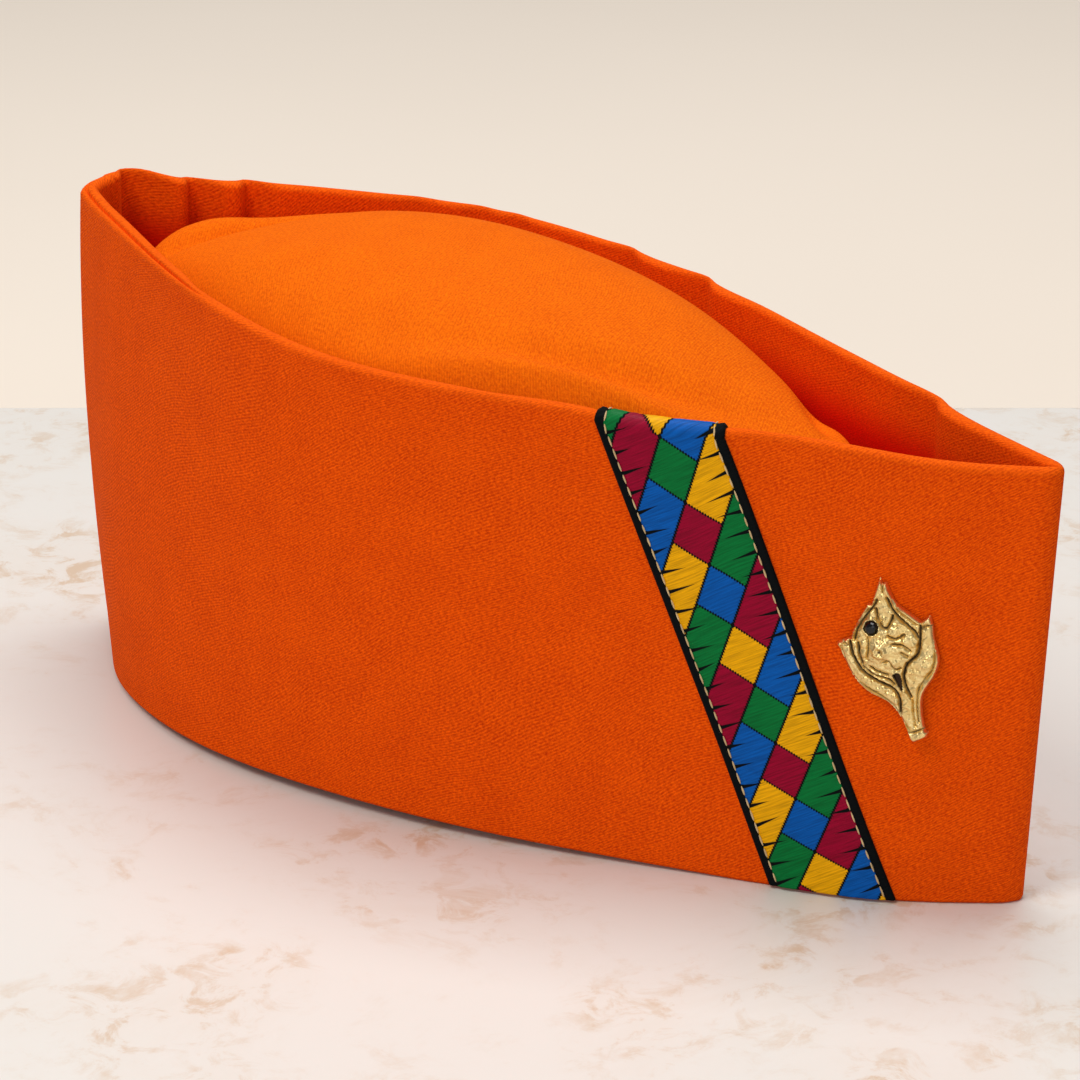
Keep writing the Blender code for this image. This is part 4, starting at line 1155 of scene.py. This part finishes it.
# Cut lines of the casting, each a short run of places, then its half width and its depth
BADGE_GROOVES = [
    # beside the rims of the left and the right sepal
    ([(-8.0, 0.2), (-6.5, -3.3), (-4.7, -5.8), (-2.3, -7.6), (1.0, -9.0),
      (3.6, -10.6), (5.6, -13.2), (7.2, -15.6)], 0.16, 0.35),
    ([(9.9, 7.2), (10.5, 4.0), (11.2, 1.0), (10.9, -1.8), (9.5, -4.2),
      (8.4, -6.4), (8.3, -9.6), (8.9, -13.4)], 0.16, 0.35),
    # between the bud and the left sepal, down to the stem
    ([(-6.3, 1.6), (-5.4, -1.2), (-3.3, -4.1), (-1.4, -5.3), (1.0, -6.3),
      (3.3, -7.2), (4.6, -9.0), (5.0, -11.8)], 0.26, 0.8),
    # between the bud and the right sepal
    ([(7.8, 6.8), (7.9, 3.8), (7.9, 2.0), (7.4, 0.4), (5.9, -1.2),
      (5.3, -3.0), (5.4, -5.4), (7.0, -8.4)], 0.26, 0.8),
    # petals at the bud's upper right
    ([(0.7, 11.5), (2.4, 8.8), (4.8, 6.9), (6.7, 5.5), (7.6, 4.2)], 0.22, 0.7),
    ([(1.7, 11.3), (3.1, 9.3), (5.4, 7.9), (7.2, 6.8)], 0.14, 0.35),
    # petals at its upper left
    ([(-1.4, 10.9), (-2.0, 9.5), (-3.6, 7.0), (-4.9, 4.4), (-5.3, 2.2)], 0.20, 0.6),
    ([(-2.9, 9.0), (-4.1, 7.1), (-5.1, 5.2)], 0.12, 0.3),
    # the middle petal's tip
    ([(-1.4, 9.0), (-0.9, 7.2), (-0.2, 6.1), (1.0, 5.4), (1.7, 6.6), (2.1, 8.2)], 0.22, 0.6),
    # leaves round the rosette
    ([(1.5, 4.0), (3.2, 3.6), (4.6, 4.6)], 0.20, 0.5),
    ([(2.5, 2.4), (4.7, 2.4), (6.2, 1.4)], 0.20, 0.5),
    ([(4.4, 0.9), (5.9, 0.1)], 0.20, 0.4),
    ([(-4.5, 1.6), (-4.0, -0.7), (-3.3, -2.6)], 0.24, 0.6),
    ([(-2.6, 3.2), (-2.2, 1.0), (-2.4, -1.4)], 0.16, 0.4),
    ([(-1.6, -3.0), (0.2, -3.8), (1.9, -4.2)], 0.20, 0.5),
    ([(-3.2, -3.0), (-0.8, -4.6), (2.2, -5.2), (3.4, -6.3)], 0.20, 0.5),
    ([(0.9, -1.6), (2.2, -1.2), (3.4, -2.8), (4.6, -2.4)], 0.16, 0.4),
    # the stem and its collar
    ([(5.5, -6.0), (7.1, -8.4), (7.6, -11.4), (8.2, -14.4)], 0.14, 0.3),
    ([(7.3, -15.9), (8.9, -15.2), (10.2, -14.4)], 0.18, 0.4),
    # the small bars at the sepals' tips, and the split at the bud's
    ([(-7.9, 1.5), (-6.6, 0.6)], 0.18, 0.4),
    ([(8.0, 6.2), (9.2, 7.0), (10.2, 7.2)], 0.18, 0.4),
    ([(-0.5, 14.2), (-0.3, 12.6)], 0.16, 0.4),
]

# Rounded bosses of the casting
BADGE_BOSSES = table(
    "across up radius rise",
    [
        (0.6, 0.8, 7.6, 1.1),
        (0.1, 0.4, 3.2, 0.55),
        (3.6, 1.4, 1.0, 0.35),
        (2.0, 3.0, 0.9, 0.35),
        (0.9, 2.8, 1.2, 0.3),
        (3.0, -1.6, 1.4, 0.45),
        (-3.2, 1.9, 1.1, 0.35),
        (-3.2, -0.4, 1.1, 0.35),
        (0.2, -2.6, 1.3, 0.3),
        (2.4, 5.0, 1.1, 0.3),
        (5.9, 3.4, 1.7, 0.35),
        (-0.1, 12.6, 1.3, 0.3),
        (9.4, -0.8, 2.4, 0.5),
        (8.2, 8.2, 1.1, 0.35),
        (-8.4, 0.7, 0.9, 0.35),
        (9.2, -16.3, 1.6, 0.35),
    ],
)
STONE_PLACE = (-2.0, 5.2)
EYE_PLACE, EYE_RADIUS = (0.2, 0.6), 1.05
DROP = [(3.0, -4.1), (4.3, -3.6), (4.8, -5.6), (5.1, -7.5), (4.2, -6.4), (3.5, -5.1)]
STAMP_PLACE = (9.5, -0.6)


def smooth_run(points, corners, step, closed=False):
    """Points about a step apart on a curve through the given ones, sharp at the corners."""
    points = np.asarray(points, float)
    count = len(points)
    made = []
    for i in range(count if closed else count - 1):
        a, b = points[i], points[(i + 1) % count]
        before = points[(i - 1) % count] if closed or i else a
        after = points[(i + 2) % count] if closed or i < count - 2 else b
        leave = (b - a) if corners[i] else (b - before) / 2
        arrive = (b - a) if corners[(i + 1) % count] else (after - a) / 2
        steps = max(1, round(np.linalg.norm(b - a) / step))
        for t in np.arange(steps) / steps:
            h = (2 * t**3 - 3 * t**2 + 1, t**3 - 2 * t**2 + t, 3 * t**2 - 2 * t**3, t**3 - t**2)
            made.append(h[0] * a + h[1] * leave + h[2] * b + h[3] * arrive)
    if not closed:
        made.append(points[-1])
    return np.array(made)


def distance_to_run(places, run, closed=False):
    """The distance from each place to the nearest point of a run of straight pieces."""
    nearest = np.full(len(places), 1e3)
    ends = np.roll(run, -1, axis=0) if closed else run[1:]
    for a, b in zip(run, ends):
        along = b - a
        share = np.clip((places - a) @ along / (along @ along), 0, 1)
        gap = np.linalg.norm(places - a - share[:, None] * along, axis=1)
        nearest = np.minimum(nearest, gap)
    return nearest


def inside_run(places, run):
    """Which places lie inside a closed run."""
    inside = np.zeros(len(places), bool)
    for a, b in zip(run, np.roll(run, -1, axis=0)):
        crossing = (a[1] > places[:, 1]) != (b[1] > places[:, 1])
        at = a[0] + (places[:, 1] - a[1]) * (b[0] - a[0]) / (b[1] - a[1] + 1e-12)
        inside ^= crossing & (places[:, 0] < at)
    return inside


def badge_relief(places, outline):
    """The casting's height above its flat back, and how deep in a hollow each place is."""
    rim = distance_to_run(places, outline, closed=True)
    height, hollow = np.zeros(len(places)), np.zeros(len(places))
    for across, up, radius, rise in zip(*BADGE_BOSSES.values()):
        off = np.hypot(places[:, 0] - across, places[:, 1] - up) / radius
        height += rise * np.clip(1 - off**2, 0, 1) ** 1.3
    nearest = rim.copy()
    cut = np.zeros(len(places))
    for points, half, depth in BADGE_GROOVES:
        run = smooth_run(points, [0] * len(points), 0.5)
        off = distance_to_run(places, run)
        nearest = np.minimum(nearest, off)
        notch = np.exp(-((off / (half * 1.25)) ** 2))
        cut = np.maximum(cut, depth * notch)
        hollow = np.maximum(hollow, notch * min(1, 0.35 + depth))
    height += 0.4 * (1 - np.exp(-nearest / 0.5)) - cut
    # a raised rim, and a hammered surface inside it
    height += 0.2 * np.exp(-(((rim - 0.45) / 0.22) ** 2))
    for scale, level, depth in ((1.1, 3.0, 0.3), (2.6, 8.0, 0.18)):
        dents = [noise.noise((a * scale, b * scale, level)) for a, b in places]
        height += depth * np.array(dents) * ease(rim, 0.5, 1.1)
    # the rosette's eye: a ring round a small pit
    eye = np.hypot(*(places - EYE_PLACE).T)
    height += 0.5 * np.exp(-(((eye - EYE_RADIUS) / 0.38) ** 2))
    pit = np.exp(-((eye / 0.42) ** 2))
    height -= 0.5 * pit
    hollow = np.maximum(hollow, pit)
    # the stone's seat in its bezel
    seat = np.hypot(*(places - STONE_PLACE).T)
    bezel = np.exp(-(((seat - STONE_RADIUS - 0.45) / 0.25) ** 2))
    height = np.where(seat < STONE_RADIUS + 0.15, STONE_SEAT - 0.1, height + 0.35 * bezel)
    hollow = np.where(seat < STONE_RADIUS + 0.15, 1.0, hollow * (1 - bezel))
    drop = inside_run(places, smooth_run(DROP, [0] * len(DROP), 0.4, closed=True))
    height = np.where(drop, -0.45, height)
    hollow = np.where(drop, 1.6, hollow)
    stamp = np.hypot(*(places - STAMP_PLACE).T)
    height -= 0.18 * np.exp(-(((stamp - 0.75) / 0.16) ** 2))
    # the ground between the rims is punched with small pits
    away = ease(nearest, 0.5, 0.8) * (eye > 1.7) * (seat > STONE_RADIUS + 0.8)
    pits = np.random.default_rng(5).uniform(-1, 1, len(places)) * away
    height += 0.09 * pits
    hollow = hollow + 0.18 * np.clip(-pits, 0, 1)
    edge = np.clip(rim / 0.35, 0, 1)
    edge = np.sqrt(1 - (1 - edge) ** 2)
    return BADGE_BACK * (0.45 + 0.55 * edge) + height * edge, hollow


def badge_frame():
    """Where the brooch sits on the band's outer face: across it, up it and out of it."""
    share = BADGE_FROM_FOLD / RIBBON_SIDE_LENGTH
    climb = BADGE_HEIGHT / FRONT_HEIGHT
    step = 0.02
    shares = np.array([share - step, share, share + step])
    here = band_points(-1, shares, climb, fine=False)
    above = band_points(-1, [share], climb + step, fine=False)[0]
    across = Vector(here[0] - here[2]).normalized()
    up = Vector(above - here[1])
    out = up.cross(-across).normalized()
    if out.y > 0:
        out.negate()
    up = out.cross(across).normalized()
    if up.z < 0:
        up.negate()
    placed = Matrix((across, up, out)).transposed().to_4x4()
    placed.translation = Vector(here[1]) + out * BADGE_AIR
    return placed


def placed_in_badge_frame(points):
    placed = np.array(badge_frame())
    return np.asarray(points, float) @ placed[:3, :3].T + placed[:3, 3]


def turned(profile, sides, start=0):
    """Points and faces of a closed body turned from a profile of (radius, height)."""
    points, faces, rings = [], [], []
    for radius, height in profile:
        count = 1 if radius == 0 else sides
        rings.append([start + len(points) + i for i in range(count)])
        for i in range(count):
            angle = 2 * math.pi * i / sides
            points.append((radius * math.cos(angle), radius * math.sin(angle), height))
    for low, high in zip(rings, rings[1:]):
        for i in range(sides):
            j = (i + 1) % sides
            corners = low[i % len(low)], low[j % len(low)], high[j % len(high)], high[i % len(high)]
            faces.append(list(dict.fromkeys(corners)))
    return points, faces


def badge(gold):
    corners = BADGE_OUTLINE["corner"]
    outline = smooth_run(
        np.column_stack([BADGE_OUTLINE["across"], BADGE_OUTLINE["up"]]), corners, 0.22, closed=True
    )
    spacing = 0.21
    low, high = outline.min(axis=0), outline.max(axis=0)
    rows = np.arange(low[1], high[1], spacing * math.sqrt(3) / 2)
    columns = np.arange(low[0], high[0], spacing)
    lattice = [(c + i % 2 * spacing / 2, up) for i, up in enumerate(rows) for c in columns]
    lattice = np.array(lattice)
    lattice = lattice[inside_run(lattice, outline)]
    lattice = lattice[distance_to_run(lattice, outline, closed=True) > spacing * 0.5]
    places = np.concatenate([outline, lattice])
    count = len(outline)
    rim = [(i, (i + 1) % count) for i in range(count)]
    flat = delaunay_2d_cdt([Vector(p) for p in places], rim, [list(range(count))], 1, 1e-5)
    places, faces = np.array([tuple(p) for p in flat[0]]), [list(face) for face in flat[2]]
    tops, hollow = badge_relief(places, outline)
    total = len(places)
    points = [(x, y, z) for (x, y), z in zip(places, tops)] + [(x, y, 0.0) for x, y in places]
    edges = {(a, b) for face in faces for a, b in zip(face, face[1:] + face[:1])}
    body = list(faces) + [[total + i for i in reversed(face)] for face in faces]
    body += [[b, a, total + a, total + b] for a, b in sorted(edges) if (b, a) not in edges]
    post_profile = [(0, -POST_LENGTH), (POST_RADIUS * 0.5, 0.5 - POST_LENGTH)]
    post_profile += [(POST_RADIUS, 1.2 - POST_LENGTH), (POST_RADIUS, 0.6), (0, 0.6)]
    post, post_faces = turned(post_profile, 20, len(points))
    points, body = points + post, body + post_faces
    obj = mesh_object("flower_bud_brooch", placed_in_badge_frame(points), body, [], gold, False)
    shade = np.concatenate([hollow, np.full(total, 0.5), np.full(len(post), 0.2)])
    layer = obj.data.attributes.new("hollow", "FLOAT", "POINT")
    layer.data.foreach_set("value", shade.astype(np.float32))
    obj.data.set_sharp_from_angle(angle=math.radians(60))
    return obj


def badge_stone(glass):
    """A small round stone: a table, crown facets in two rows, and its seat."""
    r, top = STONE_RADIUS, STONE_HEIGHT
    profile = [(0, 0), (r * 0.7, 0), (r, top * 0.5)]
    profile += [(r * 0.82, top * 0.8), (r * 0.4, top), (0, top)]
    points, faces = turned(profile, 12)
    points = np.array(points) + (*STONE_PLACE, BADGE_BACK + STONE_SEAT + GAP)
    obj = mesh_object("black_stone", placed_in_badge_frame(points), faces, [], glass)
    obj.data.set_sharp_from_angle(angle=math.radians(12))
    return obj


def badge_clutch(steel):
    """A plain turned clutch, hidden between the band and the crown, on the end of the post."""
    bore = POST_RADIUS + GAP
    start = -(BADGE_AIR + BAND_THICKNESS + CLUTCH_AIR)
    end = start - CLUTCH_DEPTH
    profile = [
        (bore, start),
        (CLUTCH_RADIUS - 0.2, start),
        (CLUTCH_RADIUS, start - 0.2),
        (CLUTCH_RADIUS, start - CLUTCH_DEPTH / 2),
        (CLUTCH_RADIUS - 0.3, start - CLUTCH_DEPTH / 2 - 0.25),
        (CLUTCH_LIP + 0.1, end + 0.25),
        (CLUTCH_LIP, end),
        (bore, end),
        (bore, start),
    ]
    points, faces = turned(profile[:-1], 48)
    last = len(points) - 48
    faces += [[last + i, last + (i + 1) % 48, (i + 1) % 48, i] for i in range(48)]
    obj = mesh_object("brooch_clutch", placed_in_badge_frame(points), faces, [], steel)
    obj.data.set_sharp_from_angle(angle=math.radians(40))
    return obj


# Table, ground and lights


def box_object(name, low, high, turn, material):
    """A box with its sides turned about Z, as a stage piece."""
    c, s = math.cos(turn), math.sin(turn)
    xs, ys, zs = zip(low, high)
    points = [(x * c - y * s, x * s + y * c, z) for z in zs for y in ys for x in xs]
    faces = [(0, 2, 3, 1), (4, 5, 7, 6), (0, 1, 5, 4), (2, 6, 7, 3), (0, 4, 6, 2), (1, 3, 7, 5)]
    mesh = bpy.data.meshes.new(name)
    mesh.from_pydata(points, [], faces)
    mesh.materials.append(material)
    obj = new_object(name, mesh)
    bevel = obj.modifiers.new("edge", "BEVEL")
    bevel.width, bevel.segments = 0.004, 3
    return obj


def area_light(name, place, size, power, tint):
    data = bpy.data.lights.new(name, "AREA")
    data.shape, data.size, data.size_y = "RECTANGLE", size[0], size[1]
    data.energy, data.color = power, colour(tint)[:3]
    light = new_object(name, data)
    light.location = place
    light.rotation_euler = (Vector((0, 0, 0.05)) - place).to_track_quat("-Z", "Y").to_euler()


def make_stage():
    turn = math.radians(CAMERA_TURN)
    box_object("marble_top", (-1.2, -1.1, -0.02), (1.2, 0.233, 0.0), turn, pale_marble())
    ground = box_object("ground", (-9, -9, -0.04), (9, 9, -0.02), turn, beige_plaster())
    ground.modifiers.clear()
    right = Vector((math.cos(turn), math.sin(turn), 0))
    back = Vector((math.sin(turn), -math.cos(turn), 0))
    key = right * -0.6 + back * 0.55 + Vector((0, 0, 1.25))
    top = right * 0.1 + back * -0.4 + Vector((0, 0, 1.45))
    fill = right * 0.1 + back * 1.5 + Vector((0, 0, 0.42))
    area_light("key_softbox", key, (0.6, 0.6), 8.8, "#fffaf4")
    area_light("top_softbox", top, (1.0, 0.8), 16, "#ffffff")
    area_light("fill_softbox", fill, (2.0, 0.6), 5.2, "#ffffff")
    world = bpy.data.worlds.new("soft_room")
    world.use_nodes = True
    world.node_tree.nodes["Background"].inputs["Color"].default_value = colour("#ffffff")
    world.node_tree.nodes["Background"].inputs["Strength"].default_value = 0.26
    bpy.context.scene.world = world


# the twill's last colour tints the painted shade on the band's inner face
twill = wool_cloth("orange_wool_twill", "#fc6004", "#c63601", 0.56, 30, 0.14, 0.46, "#f04440")
napped = wool_cloth("orange_napped_cloth", "#f87605", "#d25002", 0.6, 70, 0.14, 0.3)
plain = wool_cloth("orange_plain_lining", "#ee5604", "#b83602", 0.6, 0, 0.1, 0.35)
make_stage()

band = outer_band(twill)
crown = crown_panel(napped)
lining = inner_band(plain)
tape = ribbon(woven_ribbon())
stitches = ribbon_stitches(stitch_thread())
brooch = badge(antique_gold())
stone = badge_stone(black_glass())
clutch = badge_clutch(plated_steel())

for piece, slot, node in (
    (band, "band_cloth", "outer_band"),
    (lining, "lining_cloth", "inner_band"),
    (crown, "crown_cloth", "crown_panel"),
    (tape, "ribbon_weave", "ribbon"),
    (stitches, "ribbon_weave", None),
    (brooch, "brooch_metal", "badge"),
    (stone, "stone", "badge_stone"),
    (clutch, "clutch_metal", "badge_clutch"),
):
    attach(piece, "root")
    if node:
        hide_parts(node)
